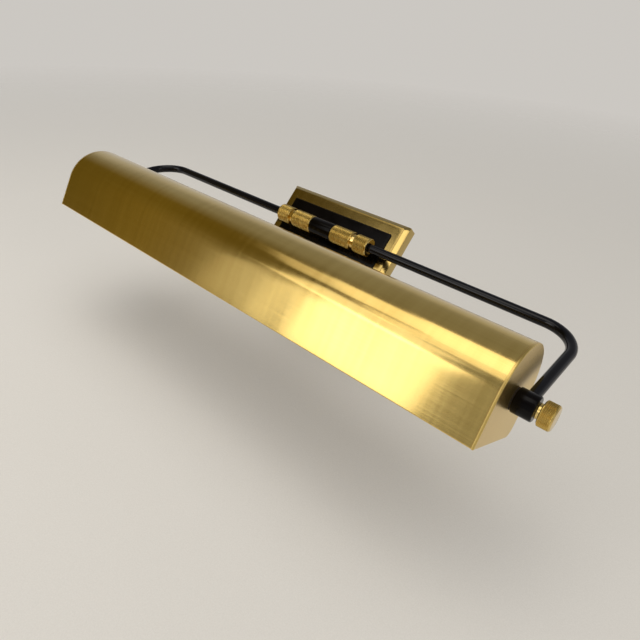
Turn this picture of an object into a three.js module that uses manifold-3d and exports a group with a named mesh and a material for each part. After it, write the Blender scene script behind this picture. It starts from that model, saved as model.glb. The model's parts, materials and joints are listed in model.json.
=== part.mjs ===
// Picture light: a brass trough shade on a black U-shaped tube arm, with a wall bracket.
// Millimetres. X runs along the shade, Y points into the wall (Y = 0 is the wall) and Z is up.
// The origin is the centre of the backplate's wall face. Everything here is solid geometry.

import * as THREE from 'three';
import { ConvexGeometry } from 'three/addons/geometries/ConvexGeometry.js';
import { mergeVertices } from 'three/addons/utils/BufferGeometryUtils.js';
import Module from 'manifold-3d';

const wasm = await Module();
wasm.setup();

// Fits
const RUNNING = 0.08; // radial clearance of a shaft in its hole
const SLACK = 0.3; // gap between pieces that rest on each other
const TOUCH = 0.1; // gap between pieces that a screw or nut holds together
const CLOSE_GAP = 0.2; // glass to its cap, and a lead to what holds it
const PAST = 1; // a cutting tool runs this far past the face that it opens

// Backplate
const PLATE_WIDTH = 180;
const PLATE_HEIGHT = 90;
const PLATE_DEPTH = 18;
const PLATE_CHAMFER = 5;
const PLATE_WALL = 2;
const PLATE_INNER_CHAMFER = 4.2;
const INSET_WIDTH = 150;
const INSET_HEIGHT = 56;
const INSET_DEPTH = 2;
const INSET_CHAMFER = 0.7;

// Mounting plate, behind the canopy
const STRAP_WIDTH = 164;
const STRAP_HEIGHT = 72;
const STRAP_THICKNESS = 2;
const TAB_WIDTH = 24;
const TAB_TOP = 42.5;
const TAB_DEPTH = 12;
const GRUB_RADIUS = 2;
const GRUB_DEPTH = 7;
const GRUB_START = 37;
const GRUB_RECESS = 0.4;
const SCREW_HOLE_RADIUS = 2;
const SCREW_RADIUS = 1.9;
const WALL_SCREW_PITCH = 120;
const WALL_SLOT_HALF = 5;
const WALL_SLOT_RADIUS = 2.6;
const WIRE_ENTRY_RADIUS = 9;
const WIRE_ENTRY_X = -30;
const EARTH_X = -62;
const EARTH_Z = 24;
const EARTH_HEAD_RADIUS = 4;
const EARTH_HEAD_HEIGHT = 3;

// Terminal block: two rows of wells, open to the front
const TERMINAL_START = 20;
const TERMINAL_END = 50;
const TERMINAL_FRONT = -13;
const TERMINAL_HALF_HEIGHT = 7;
const TERMINAL_WAYS = 3;
const TERMINAL_ROW = 4;
const WELL_RADIUS = 2;
const WELL_DEPTH = 5;

// Bar, centre block, sleeves and clamp collars
const BAR_STANDOFF = 34; // wall to bar axis
const TUBE_RADIUS = 5;
const TUBE_BORE = 3.8;
const GRIP_RADIUS = 10.5; // block, sleeves, collars, hubs and knobs
const GRIP_EDGE = 0.6;
const BLOCK_HALF = 16;
const STUB_END = 28;
const STUB_RADIUS = 7;
const SLEEVE_START = 16.2;
const SLEEVE_END = 45;
const GROOVE_RADIUS = 8.4;
const SPIGOT_START = 50;
const SPIGOT_END = 60;
const SPIGOT_RADIUS = 7.4;
const COLLAR_START = 50.1;
const COLLAR_END = 68.5;
const COLLAR_MOUTH = 6.3;
const COLLAR_RING = 3;
const POST_RADIUS = 8;
const NIPPLE_RADIUS = 5; // M10 hollow thread
const NIPPLE_BORE = 3.3;
const POST_INNER_END = 9; // post thread stops this far from the wall
const POST_HOLE_RADIUS = 5.2;
const POST_NUT_FLATS = 16;
const POST_NUT_HEIGHT = 5;

// Arm
const ARM_DROP = 45; // degrees below level at rest
const ARM_REACH = 117; // bar axis to hub axis
const LEG_X = 304.25;
const BEND_RADIUS = 35;
const HUB_START = 296.1;
const HUB_END = 312.6;
const LEG_STOP = 5.6; // leg end to hub axis
const WIRE_SLOT_HALF = 5.5; // opening at the back of the bar, behind the post

// Thumb knobs
const KNOB_NECK_RADIUS = 6.4;
const KNOB_NECK_START = 312.9;
const KNOB_START = 316;
const KNOB_END = 326.5;
const KNOB_BEVEL = 1.1;
const KNOB_BORE_SPARE = 1; // blind bore past the end of the pivot

// Shade, in its own frame: origin on the pivot, Y to the back, Z up
const SHADE_TILT = 15; // degrees about the pivot at rest
const SHADE_HALF = 295; // pivot plane to the outside of an end cap
const ARCH_RADIUS = 45;
const SKIRT = 38; // straight wall below the pivot
const SHEET = 1.2;
const CORNER_RADIUS = 10;
const LIP = 8;
const HEM_HEIGHT = 8;
const HEM_GAP = 0.2;
const CAP_THICKNESS = 2;
const WASHER_RADIUS = 9.5;
const PIVOT_INNER_END = 285;
const PIVOT_OUTER_END = 322;
const PIVOT_WINDOW_HALF = 3.8;
const PIVOT_WINDOW_TURN = 37.5; // degrees from the shade's back towards its top
const NIPPLE_NUT_FLATS = 14;
const NIPPLE_NUT_HEIGHT = 4;

// Inside the shade
const CHANNEL_Z = 30;
const CHANNEL_WIDTH = 36;
const CHANNEL_THICKNESS = 1.5;
const CHANNEL_TAB_WIDTH = 24;
const CHANNEL_TAB_DROP = 10;
const REFLECTOR_HALF = 288;
const REFLECTOR_RADIUS = 40.6;
const REFLECTOR_THICKNESS = 0.8;
const REFLECTOR_WRAP = 10; // degrees that it reaches below level
const SPACER_X = 150;
const SPACER_RADIUS = 3;

// Lamps
const LAMP_Z = 4;
const LAMP_RADIUS = 15;
const LAMP_TIP = 14;
const LAMP_NECK = 175;
const LAMP_CAP_RADIUS = 7;
const LAMP_CAP_RIM = 0.4;
const LAMP_CAP_END = 199;
const LAMP_CONTACT_RADIUS = 2.5;
const LAMP_CONTACT_HEIGHT = 1.5;
const GLASS_WALL = 1;
const GLASS_SHOULDER = 15; // length of the slope down to the neck
const GLASS_NECK_LENGTH = 4;
const GLASS_NECK_RADIUS = 6.6;
const GLASS_NECK_FLARE = 0.4;
const STEM_RADIUS = 3;
const STEM_LENGTH = 25;
const SPIDER_RADIUS = 7;
const SPIDER_HALF = 0.6;
const SPIDER_INSET = 22; // far spider to the lamp's tip
const FILAMENT_RODS = 4;
const FILAMENT_CIRCLE = 5.5;
const FILAMENT_RADIUS = 0.9;

// Lampholders and their brackets
const HOLDER_MOUTH = 176;
const HOLDER_RADIUS = 13;
const HOLDER_RIM = 0.8;
const HOLDER_STEP = 200;
const HOLDER_SLOPE = 2;
const HOLDER_BASE_RADIUS = 14.2;
const HOLDER_BACK = 221.8;
const HOLDER_FLOOR = 3.5; // lamp cap to the floor of the socket
const HOLDER_SCREW_HOLE = 1.6;
const HOLDER_SCREW_RADIUS = 1.5;
const HOLDER_SCREW_HEAD_RADIUS = 3;
const HOLDER_SCREW_HEAD = 2;
const HOLDER_SCREW_REACH = 9;
const BRACKET_X = 222;
const BRACKET_FOOT = 16;
const BRACKET_SHEET = 1.5;
const BRACKET_FOOT_HALF = 9;
const BRACKET_DROP_HALF = 7;
const BRACKET_BELOW_LAMP = 8;
const BRACKET_SCREW_HEAD_RADIUS = 3.5;
const BRACKET_SCREW_HEAD = 2.3;
const BRACKET_SCREW_PROUD = 1.5;

// Leads
const LEAD_RADIUS = 1.5;
const SUPPLY_LEAD_RADIUS = 1.8;
const ARM_LEAD_RADIUS = 2.4;
const EARTH_LEAD_RADIUS = 1.2;
const SHADE_LEAD_BEND = 8;
const SUPPLY_LEAD_BEND = 4;
const EARTH_LEAD_BEND = 6;
const SUPPLY_LEAD_Y = -6;
const SUPPLY_LEAD_END = -28;
const EARTH_LEAD_Y = -4;
const EARTH_TERMINAL_X = 30;
const ARM_LEAD_START = 2;
const LEAD_Y = 14; // lead route beside the lamps
const LEAD_Z = 26;
const LEAD_START_X = 300; // inside the pivot
const LEAD_TURN_X = 270; // clear of the pivot's inner end
const LEAD_DROP_X = 252;
const LEAD_FAR_X = -262;
const LEAD_PIVOT_Y = 1.6;
const LEAD_TERMINAL_Y = 10.5;
const CLIP_X = 120;
const CLIP_HALF_LENGTH = 4;
const CLIP_HALF_WIDTH = 3;

// Materials: colour, roughness, metalness
const FINISHES = {
  satinBrass: [0xb59a48, 0.34, 1],
  knurledBrass: [0xc49a45, 0.42, 1],
  blackGloss: [0x0c0c12, 0.18, 0],
  blackSatin: [0x101014, 0.42, 0],
  zincSteel: [0xa9adb2, 0.4, 1],
  whitePaint: [0xf1efe8, 0.45, 0],
  whitePlastic: [0xe6e3da, 0.5, 0],
  porcelain: [0xf4f2ec, 0.25, 0],
  glass: [0xf3efe2, 0.05, 0],
  filament: [0xf0c860, 0.5, 0],
  nickel: [0xc6c4bd, 0.25, 1],
  cable: [0x2a2a2c, 0.6, 0],
  earthCable: [0x7f9a2c, 0.6, 0],
  fibre: [0x3a2a20, 0.8, 0],
};

const AXIS_X = new THREE.Vector3(1, 0, 0);
const AXIS_Y = new THREE.Vector3(0, 1, 0);
const AXIS_Z = new THREE.Vector3(0, 0, 1);
const radians = THREE.MathUtils.degToRad;

// ---------------------------------------------------------------- closed meshes and booleans

function signedVolume(position, index) {
  const [a, b, c] = [new THREE.Vector3(), new THREE.Vector3(), new THREE.Vector3()];
  let sum = 0;
  for (let i = 0; i < index.length; i += 3) {
    a.fromBufferAttribute(position, index[i]);
    b.fromBufferAttribute(position, index[i + 1]);
    c.fromBufferAttribute(position, index[i + 2]);
    sum += a.dot(b.cross(c));
  }
  return sum / 6;
}

// Merges shared vertices, drops triangles without area and points the faces outwards.
function closed(geometry) {
  geometry.deleteAttribute('normal');
  geometry.deleteAttribute('uv');
  const merged = mergeVertices(geometry, 1e-4);
  const kept = [];
  const source = merged.index.array;
  for (let i = 0; i < source.length; i += 3) {
    const [a, b, c] = [source[i], source[i + 1], source[i + 2]];
    if (a !== b && b !== c && c !== a) kept.push(a, b, c);
  }
  if (signedVolume(merged.attributes.position, kept) < 0) kept.reverse();
  merged.setIndex(kept);
  return merged;
}

function toSolid(geometry) {
  const merged = closed(geometry.clone());
  const mesh = new wasm.Mesh({
    numProp: 3,
    vertProperties: new Float32Array(merged.attributes.position.array),
    triVerts: new Uint32Array(merged.index.array),
  });
  return new wasm.Manifold(mesh);
}

function toGeometry(solid) {
  const mesh = solid.getMesh();
  const geometry = new THREE.BufferGeometry();
  geometry.setAttribute('position', new THREE.BufferAttribute(mesh.vertProperties, 3));
  geometry.setIndex(Array.from(mesh.triVerts));
  return geometry;
}

function cut(base, ...tools) {
  return toGeometry(tools.reduce((solid, tool) => solid.subtract(toSolid(tool)), toSolid(base)));
}

function join(base, ...others) {
  return toGeometry(others.reduce((solid, other) => solid.add(toSolid(other)), toSolid(base)));
}

// ---------------------------------------------------------------- basic shapes

function block(x0, x1, y0, y1, z0, z1) {
  const geometry = new THREE.BoxGeometry(x1 - x0, y1 - y0, z1 - z0);
  return geometry.translate((x0 + x1) / 2, (y0 + y1) / 2, (z0 + z1) / 2);
}

// Rod of one radius from start to end along 'x', 'y' or 'z', through the point at.
function rod(along, radius, start, end, at = [0, 0, 0], sides = 24) {
  const geometry = new THREE.CylinderGeometry(radius, radius, end - start, sides);
  geometry.translate(0, (start + end) / 2, 0);
  if (along === 'x') geometry.rotateZ(-Math.PI / 2);
  if (along === 'z') geometry.rotateX(Math.PI / 2);
  return geometry.translate(...at);
}

// Turned piece round the X axis from [x, radius] points. A loop off the axis is closed here.
function turned(profile, sides = 24) {
  const points = profile.map(([x, radius]) => new THREE.Vector2(radius, x));
  if (profile[0][1] > 0) points.push(points[0].clone());
  const geometry = new THREE.LatheGeometry(points, sides);
  return closed(geometry.rotateZ(-Math.PI / 2));
}

// Extrudes a shape drawn in (y, z) along X.
function extrudeX(shape, x0, x1, curveSegments = 12) {
  const settings = { depth: x1 - x0, bevelEnabled: false, curveSegments };
  const geometry = new THREE.ExtrudeGeometry(shape, settings);
  geometry.applyMatrix4(new THREE.Matrix4().makeBasis(AXIS_Y, AXIS_Z, AXIS_X));
  return geometry.translate(x0, 0, 0);
}

// Block with its front (low Y) edges chamfered and its back at y.
function chamferedBlock(width, height, depth, chamfer, y = 0) {
  const points = [];
  for (const sx of [-1, 1]) {
    for (const sz of [-1, 1]) {
      const side = [(sx * width) / 2, (sz * height) / 2];
      const face = [side[0] - sx * chamfer, side[1] - sz * chamfer];
      points.push(new THREE.Vector3(side[0], y, side[1]));
      points.push(new THREE.Vector3(side[0], y - depth + chamfer, side[1]));
      points.push(new THREE.Vector3(face[0], y - depth, face[1]));
    }
  }
  return new ConvexGeometry(points);
}

function hexNut(along, acrossFlats, start, end, holeRadius, at = [0, 0, 0]) {
  const body = rod(along, acrossFlats / Math.sqrt(3), start, end, at, 6);
  return cut(body, rod(along, holeRadius, start - 1, end + 1, at, 24));
}

// ---------------------------------------------------------------- bent runs

// A run of straight lengths with an arc of one radius at each corner. Its stations are the
// ends of the straights and a few points round each arc, so straights cost one step.
class BentRun extends THREE.Curve {
  constructor(corners, radius, arcSteps) {
    super();
    this.stations = [];
    const last = corners.length - 1;
    const direction = (i) => corners[i + 1].clone().sub(corners[i]).normalize();
    this.addStation(corners[0], direction(0));
    for (let i = 1; i < last; i += 1) {
      this.addArc(corners[i], direction(i - 1), direction(i), radius, arcSteps);
    }
    this.addStation(corners[last], direction(last - 1));
  }

  addStation(point, tangent) {
    this.stations.push({ point: point.clone(), tangent: tangent.clone() });
  }

  addArc(corner, before, after, radius, arcSteps) {
    const turn = before.angleTo(after);
    const axis = before.clone().cross(after).normalize();
    const start = corner.clone().addScaledVector(before, -radius * Math.tan(turn / 2));
    const spoke = before.clone().cross(axis).multiplyScalar(radius);
    const centre = start.clone().sub(spoke);
    for (let k = 0; k <= arcSteps; k += 1) {
      const angle = (turn * k) / arcSteps;
      const arm = spoke.clone().applyAxisAngle(axis, angle);
      this.addStation(centre.clone().add(arm), before.clone().applyAxisAngle(axis, angle));
    }
  }

  get steps() {
    return this.stations.length - 1;
  }

  getPoint(t, target = new THREE.Vector3()) {
    return target.copy(this.stations[Math.round(t * this.steps)].point);
  }

  getSpacedPoints() {
    return this.stations.map((station) => station.point.clone());
  }

  getTangentAt(u, target = new THREE.Vector3()) {
    return target.copy(this.stations[Math.round(u * this.steps)].tangent);
  }
}

function tubeAlong(run, outer, bore, sides) {
  const shape = new THREE.Shape().absarc(0, 0, outer, 0, 2 * Math.PI);
  if (bore > 0) shape.holes.push(new THREE.Path().absarc(0, 0, bore, 0, 2 * Math.PI, true));
  const settings = { steps: run.steps, extrudePath: run, curveSegments: sides / 2 };
  return closed(new THREE.ExtrudeGeometry(shape, settings));
}

function lead(corners, radius, bend, sides = 8) {
  const points = corners.map((corner) => new THREE.Vector3(...corner));
  return tubeAlong(new BentRun(points, bend, 4), radius, 0, sides);
}

// ---------------------------------------------------------------- meshes

function piece(name, geometry, finish) {
  const [color, roughness, metalness] = FINISHES[finish];
  const material = new THREE.MeshStandardMaterial({ color, roughness, metalness });
  const mesh = new THREE.Mesh(closed(geometry), material);
  mesh.name = name;
  return mesh;
}

// Adds NAME_right as drawn, and NAME_left as its mirror image in X.
function addPair(group, name, geometry, finish) {
  const right = closed(geometry.clone());
  const left = closed(geometry.clone().applyMatrix4(new THREE.Matrix4().makeScale(-1, 1, 1)));
  group.add(piece(`${name}_right`, right, finish));
  group.add(piece(`${name}_left`, left, finish));
}

// ---------------------------------------------------------------- wall bracket

function canopy() {
  const outside = chamferedBlock(PLATE_WIDTH, PLATE_HEIGHT, PLATE_DEPTH, PLATE_CHAMFER);
  const lost = 2 * PLATE_WALL;
  const inside = chamferedBlock(
    PLATE_WIDTH - lost,
    PLATE_HEIGHT - lost,
    PLATE_DEPTH - PLATE_WALL + PAST,
    PLATE_INNER_CHAMFER,
    PAST,
  );
  const postHole = rod('y', POST_HOLE_RADIUS, -PLATE_DEPTH - PAST, 0);
  const half = PLATE_HEIGHT / 2 + PAST;
  const grubHoles = rod('z', GRUB_RADIUS + RUNNING, -half, half, [0, -GRUB_DEPTH, 0], 20);
  return cut(outside, inside, postHole, grubHoles);
}

function wallScrewSlot(x) {
  const [half, radius] = [WALL_SLOT_HALF, WALL_SLOT_RADIUS];
  const slot = block(x - half, x + half, -STRAP_THICKNESS - PAST, PAST, -radius, radius);
  const ends = [-half, half].map((dx) => strapHole(radius, x + dx, 0, 16));
  return join(slot, ...ends);
}

// Round cutter through the mounting plate at (x, z).
function strapHole(radius, x, z, sides = 24) {
  return rod('y', radius, -STRAP_THICKNESS - PAST, PAST, [x, 0, z], sides);
}

function mountingPlate() {
  const halfWidth = STRAP_WIDTH / 2;
  const halfHeight = STRAP_HEIGHT / 2;
  const halfTab = TAB_WIDTH / 2;
  const flat = block(-halfWidth, halfWidth, -STRAP_THICKNESS, 0, -halfHeight, halfHeight);
  const spine = block(-halfTab, halfTab, -STRAP_THICKNESS, 0, -TAB_TOP, TAB_TOP);
  const inner = TAB_TOP - STRAP_THICKNESS;
  const topTab = block(-halfTab, halfTab, -TAB_DEPTH, 0, inner, TAB_TOP);
  const lowTab = block(-halfTab, halfTab, -TAB_DEPTH, 0, -TAB_TOP, -inner);
  const body = join(flat, spine, topTab, lowTab);
  const reach = TAB_TOP + PAST;
  const grubHoles = rod('z', GRUB_RADIUS + RUNNING, -reach, reach, [0, -GRUB_DEPTH, 0], 20);
  const wireEntry = strapHole(WIRE_ENTRY_RADIUS, WIRE_ENTRY_X, 0);
  const earthHole = strapHole(SCREW_HOLE_RADIUS, EARTH_X, EARTH_Z, 16);
  const slots = [-1, 1].map((side) => wallScrewSlot((side * WALL_SCREW_PITCH) / 2));
  return cut(body, grubHoles, wireEntry, earthHole, ...slots);
}

function centreBlock() {
  const barrel = rod('x', GRIP_RADIUS, -BLOCK_HALF, BLOCK_HALF, [0, -BAR_STANDOFF, 0]);
  const stubs = rod('x', STUB_RADIUS, -STUB_END, STUB_END, [0, -BAR_STANDOFF, 0]);
  const post = rod('y', POST_RADIUS, -BAR_STANDOFF, -PLATE_DEPTH - INSET_DEPTH, [0, 0, 0]);
  const thread = rod('y', NIPPLE_RADIUS, -BAR_STANDOFF, -POST_INNER_END, [0, 0, 0]);
  const reach = STUB_END + PAST;
  const barHole = rod('x', TUBE_RADIUS + RUNNING, -reach, reach, [0, -BAR_STANDOFF, 0]);
  const wireHole = rod('y', NIPPLE_BORE, -BAR_STANDOFF, 0, [0, 0, 0], 20);
  return cut(join(barrel, stubs, post, thread), barHole, wireHole);
}

function sleeve() {
  return turned([
    [SLEEVE_START, STUB_RADIUS + RUNNING],
    [SLEEVE_START, GRIP_RADIUS - GRIP_EDGE],
    [SLEEVE_START + GRIP_EDGE, GRIP_RADIUS],
    [SLEEVE_END - GRIP_EDGE, GRIP_RADIUS],
    [SLEEVE_END, GRIP_RADIUS - GRIP_EDGE],
    [SLEEVE_END, GROOVE_RADIUS],
    [SPIGOT_START, GROOVE_RADIUS],
    [SPIGOT_START, SPIGOT_RADIUS],
    [SPIGOT_END, SPIGOT_RADIUS],
    [SPIGOT_END, TUBE_RADIUS + RUNNING],
    [STUB_END + SLACK, TUBE_RADIUS + RUNNING],
    [STUB_END + SLACK, STUB_RADIUS + RUNNING],
  ]);
}

function collar() {
  const bore = SPIGOT_RADIUS + RUNNING;
  return turned([
    [COLLAR_START, bore],
    [COLLAR_START, GRIP_RADIUS - GRIP_EDGE],
    [COLLAR_START + GRIP_EDGE, GRIP_RADIUS],
    [COLLAR_END - GRIP_EDGE, GRIP_RADIUS],
    [COLLAR_END, GRIP_RADIUS - GRIP_EDGE],
    [COLLAR_END, COLLAR_MOUTH],
    [COLLAR_END - COLLAR_RING, COLLAR_MOUTH],
    [COLLAR_END - COLLAR_RING, bore],
  ]);
}

function collet() {
  const start = SPIGOT_END + SLACK;
  const end = COLLAR_END - COLLAR_RING - SLACK;
  return turned([
    [start, TUBE_RADIUS + RUNNING],
    [start, SPIGOT_RADIUS - SLACK],
    [end, SPIGOT_RADIUS - 3 * SLACK],
    [end, TUBE_RADIUS + RUNNING],
  ]);
}

function earthScrew() {
  const at = [EARTH_X, 0, EARTH_Z];
  const face = -STRAP_THICKNESS;
  const head = rod('y', EARTH_HEAD_RADIUS, face - EARTH_HEAD_HEIGHT, face - TOUCH, at, 20);
  const shank = rod('y', SCREW_RADIUS, face - PAST, -SLACK, at, 16);
  return join(head, shank);
}

function terminalBlock() {
  const half = TERMINAL_HALF_HEIGHT;
  const back = -STRAP_THICKNESS - TOUCH;
  const body = block(TERMINAL_START, TERMINAL_END, TERMINAL_FRONT, back, -half, half);
  const pitch = (TERMINAL_END - TERMINAL_START) / TERMINAL_WAYS;
  const wells = [];
  for (let way = 0; way < TERMINAL_WAYS; way += 1) {
    for (const z of [-TERMINAL_ROW, TERMINAL_ROW]) {
      const at = [TERMINAL_START + (way + 0.5) * pitch, TERMINAL_FRONT, z];
      wells.push(rod('y', WELL_RADIUS, -PAST, WELL_DEPTH, at, 12));
    }
  }
  return cut(body, ...wells);
}

function earthLead() {
  const route = [
    [EARTH_X + EARTH_HEAD_RADIUS + SLACK, EARTH_LEAD_Y, EARTH_Z],
    [EARTH_TERMINAL_X, EARTH_LEAD_Y, EARTH_Z],
    [EARTH_TERMINAL_X, EARTH_LEAD_Y, TERMINAL_HALF_HEIGHT + SLACK],
  ];
  return lead(route, EARTH_LEAD_RADIUS, EARTH_LEAD_BEND);
}

function supplyLead() {
  const route = [
    [TERMINAL_START - SLACK, SUPPLY_LEAD_Y, 0],
    [0, SUPPLY_LEAD_Y, 0],
    [0, SUPPLY_LEAD_END, 0],
  ];
  return lead(route, SUPPLY_LEAD_RADIUS, SUPPLY_LEAD_BEND);
}

function wallBracket() {
  const group = new THREE.Group();
  group.add(piece('backplate_canopy', canopy(), 'satinBrass'));
  group.add(piece('mounting_plate', mountingPlate(), 'zincSteel'));

  const inset = chamferedBlock(INSET_WIDTH, INSET_HEIGHT, INSET_DEPTH, INSET_CHAMFER, -PLATE_DEPTH);
  const postHole = rod('y', POST_HOLE_RADIUS, -BAR_STANDOFF, 0);
  group.add(piece('inset_plate', cut(inset, postHole), 'blackSatin'));
  group.add(piece('centre_block', centreBlock(), 'blackSatin'));

  const nutTop = PLATE_DEPTH - PLATE_WALL;
  const nutEnd = POST_NUT_HEIGHT - nutTop;
  const nut = hexNut('y', POST_NUT_FLATS, -nutTop, nutEnd, NIPPLE_RADIUS + RUNNING);
  group.add(piece('post_nut', nut, 'zincSteel'));

  const grubEnd = PLATE_HEIGHT / 2 - GRUB_RECESS;
  const grub = rod('z', GRUB_RADIUS, GRUB_START, grubEnd, [0, -GRUB_DEPTH, 0], 16);
  group.add(piece('canopy_grub_top', grub, 'zincSteel'));
  group.add(piece('canopy_grub_bottom', grub.clone().scale(1, 1, -1), 'zincSteel'));

  group.add(piece('terminal_block', terminalBlock(), 'whitePlastic'));
  group.add(piece('earth_screw', earthScrew(), 'satinBrass'));
  group.add(piece('earth_lead', earthLead(), 'earthCable'));
  group.add(piece('supply_lead', supplyLead(), 'cable'));

  const barrel = new THREE.Group();
  barrel.position.y = -BAR_STANDOFF;
  addPair(barrel, 'sleeve', sleeve(), 'knurledBrass');
  addPair(barrel, 'collet', collet(), 'nickel');
  addPair(barrel, 'clamp_collar', collar(), 'knurledBrass');
  group.add(barrel);
  return group;
}

// ---------------------------------------------------------------- arm

// Drawn level: the bar lies on the group's X axis and the legs run forward, along -Y.
function armTube() {
  const leg = -(ARM_REACH - LEG_STOP);
  const corners = [[-LEG_X, leg, 0], [-LEG_X, 0, 0], [LEG_X, 0, 0], [LEG_X, leg, 0]];
  const run = new BentRun(corners.map((corner) => new THREE.Vector3(...corner)), BEND_RADIUS, 6);
  const reach = TUBE_RADIUS + PAST;
  const wireSlot = block(-WIRE_SLOT_HALF, WIRE_SLOT_HALF, PAST, reach, -reach, reach);
  return cut(tubeAlong(run, TUBE_RADIUS, TUBE_BORE, 20), wireSlot);
}

function hub() {
  const at = [0, -ARM_REACH, 0];
  const body = turned([
    [HUB_START, 0],
    [HUB_START, GRIP_RADIUS - GRIP_EDGE],
    [HUB_START + GRIP_EDGE, GRIP_RADIUS],
    [HUB_END - GRIP_EDGE, GRIP_RADIUS],
    [HUB_END, GRIP_RADIUS - GRIP_EDGE],
    [HUB_END, 0],
  ]).translate(...at);
  const pivotHole = rod('x', NIPPLE_RADIUS + RUNNING, HUB_START - PAST, HUB_END + PAST, at);
  const rim = -ARM_REACH + GRIP_RADIUS + PAST;
  const legHole = rod('y', TUBE_RADIUS + RUNNING, -ARM_REACH, rim, [LEG_X, 0, 0]);
  return cut(body, pivotHole, legHole);
}

function arm() {
  const group = new THREE.Group();
  group.position.y = -BAR_STANDOFF;
  group.rotation.x = radians(ARM_DROP);
  group.add(piece('arm_tube', armTube(), 'blackGloss'));
  addPair(group, 'hub', hub(), 'blackSatin');
  const leadEnd = LEG_STOP + SLACK - ARM_REACH;
  const route = [[ARM_LEAD_START, 0, 0], [LEG_X, 0, 0], [LEG_X, leadEnd, 0]];
  group.add(piece('arm_lead', lead(route, ARM_LEAD_RADIUS, BEND_RADIUS), 'cable'));
  return group;
}

// ---------------------------------------------------------------- shade

// Points of the trough's outline, moved inwards by inset: up the front wall, over the arch,
// down the back wall and round the lower back corner to the start of the lip.
function troughLine(inset) {
  const radius = ARCH_RADIUS - inset;
  const corner = CORNER_RADIUS - inset;
  const points = [new THREE.Vector2(-radius, -SKIRT)];
  const archSteps = 28;
  for (let k = 0; k <= archSteps; k += 1) {
    const angle = Math.PI * (1 - k / archSteps);
    points.push(new THREE.Vector2(radius * Math.cos(angle), radius * Math.sin(angle)));
  }
  const cornerSteps = 5;
  const centreY = ARCH_RADIUS - CORNER_RADIUS;
  const centreZ = CORNER_RADIUS - SKIRT;
  for (let k = 0; k <= cornerSteps; k += 1) {
    const angle = (-Math.PI / 2) * (k / cornerSteps);
    const y = centreY + corner * Math.cos(angle);
    points.push(new THREE.Vector2(y, centreZ + corner * Math.sin(angle)));
  }
  return points;
}

function shadeShell() {
  const lipEnd = ARCH_RADIUS - CORNER_RADIUS - LIP;
  const hemInner = -ARCH_RADIUS + 2 * SHEET + HEM_GAP;
  const outer = troughLine(0);
  const inner = troughLine(SHEET).reverse();
  const frontFoot = inner.pop();
  const section = [
    ...outer,
    new THREE.Vector2(lipEnd, -SKIRT),
    new THREE.Vector2(lipEnd, -SKIRT + SHEET),
    ...inner,
    new THREE.Vector2(frontFoot.x, -SKIRT + HEM_HEIGHT),
    new THREE.Vector2(hemInner, -SKIRT + HEM_HEIGHT),
    new THREE.Vector2(hemInner, -SKIRT),
  ];
  const half = SHADE_HALF - CAP_THICKNESS;
  return extrudeX(new THREE.Shape(section), -half, half);
}

function endCap() {
  const shape = new THREE.Shape(troughLine(0).reverse());
  const hole = new THREE.Path().absarc(0, 0, NIPPLE_RADIUS + RUNNING, 0, 2 * Math.PI, true);
  shape.holes.push(hole);
  return extrudeX(shape, SHADE_HALF - CAP_THICKNESS, SHADE_HALF);
}

// Hollow pivot, cut away beside the leg so that the lead can enter at every tilt.
function pivotNipple() {
  const body = turned([
    [PIVOT_INNER_END, NIPPLE_BORE],
    [PIVOT_INNER_END, NIPPLE_RADIUS],
    [PIVOT_OUTER_END, NIPPLE_RADIUS],
    [PIVOT_OUTER_END, NIPPLE_BORE],
  ]);
  const [near, far] = [LEG_X - PIVOT_WINDOW_HALF, LEG_X + PIVOT_WINDOW_HALF];
  const reach = NIPPLE_RADIUS + PAST;
  const window = block(near, far, PAST, reach, -reach, reach);
  window.rotateX(radians(PIVOT_WINDOW_TURN));
  return cut(body, window);
}

function knob() {
  const bore = NIPPLE_RADIUS + RUNNING;
  return turned([
    [PIVOT_OUTER_END + KNOB_BORE_SPARE, 0],
    [PIVOT_OUTER_END + KNOB_BORE_SPARE, bore],
    [KNOB_NECK_START, bore],
    [KNOB_NECK_START, KNOB_NECK_RADIUS],
    [KNOB_START, KNOB_NECK_RADIUS],
    [KNOB_START, GRIP_RADIUS - GRIP_EDGE],
    [KNOB_START + GRIP_EDGE, GRIP_RADIUS],
    [KNOB_END - KNOB_BEVEL, GRIP_RADIUS],
    [KNOB_END, GRIP_RADIUS - KNOB_BEVEL],
    [KNOB_END, 0],
  ]);
}

function addPivots(group) {
  addPair(group, 'pivot_nipple', pivotNipple(), 'satinBrass');
  const bore = NIPPLE_RADIUS + RUNNING;
  const washer = turned([
    [SHADE_HALF + TOUCH, bore],
    [SHADE_HALF + TOUCH, WASHER_RADIUS],
    [HUB_START - TOUCH, WASHER_RADIUS],
    [HUB_START - TOUCH, bore],
  ]);
  addPair(group, 'friction_washer', washer, 'fibre');
  const seat = SHADE_HALF - CAP_THICKNESS - 2 * SLACK - CHANNEL_THICKNESS;
  const nut = hexNut('x', NIPPLE_NUT_FLATS, seat - NIPPLE_NUT_HEIGHT, seat - TOUCH, bore);
  addPair(group, 'nipple_nut', nut, 'zincSteel');
  addPair(group, 'thumb_knob', knob(), 'knurledBrass');
}

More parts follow.
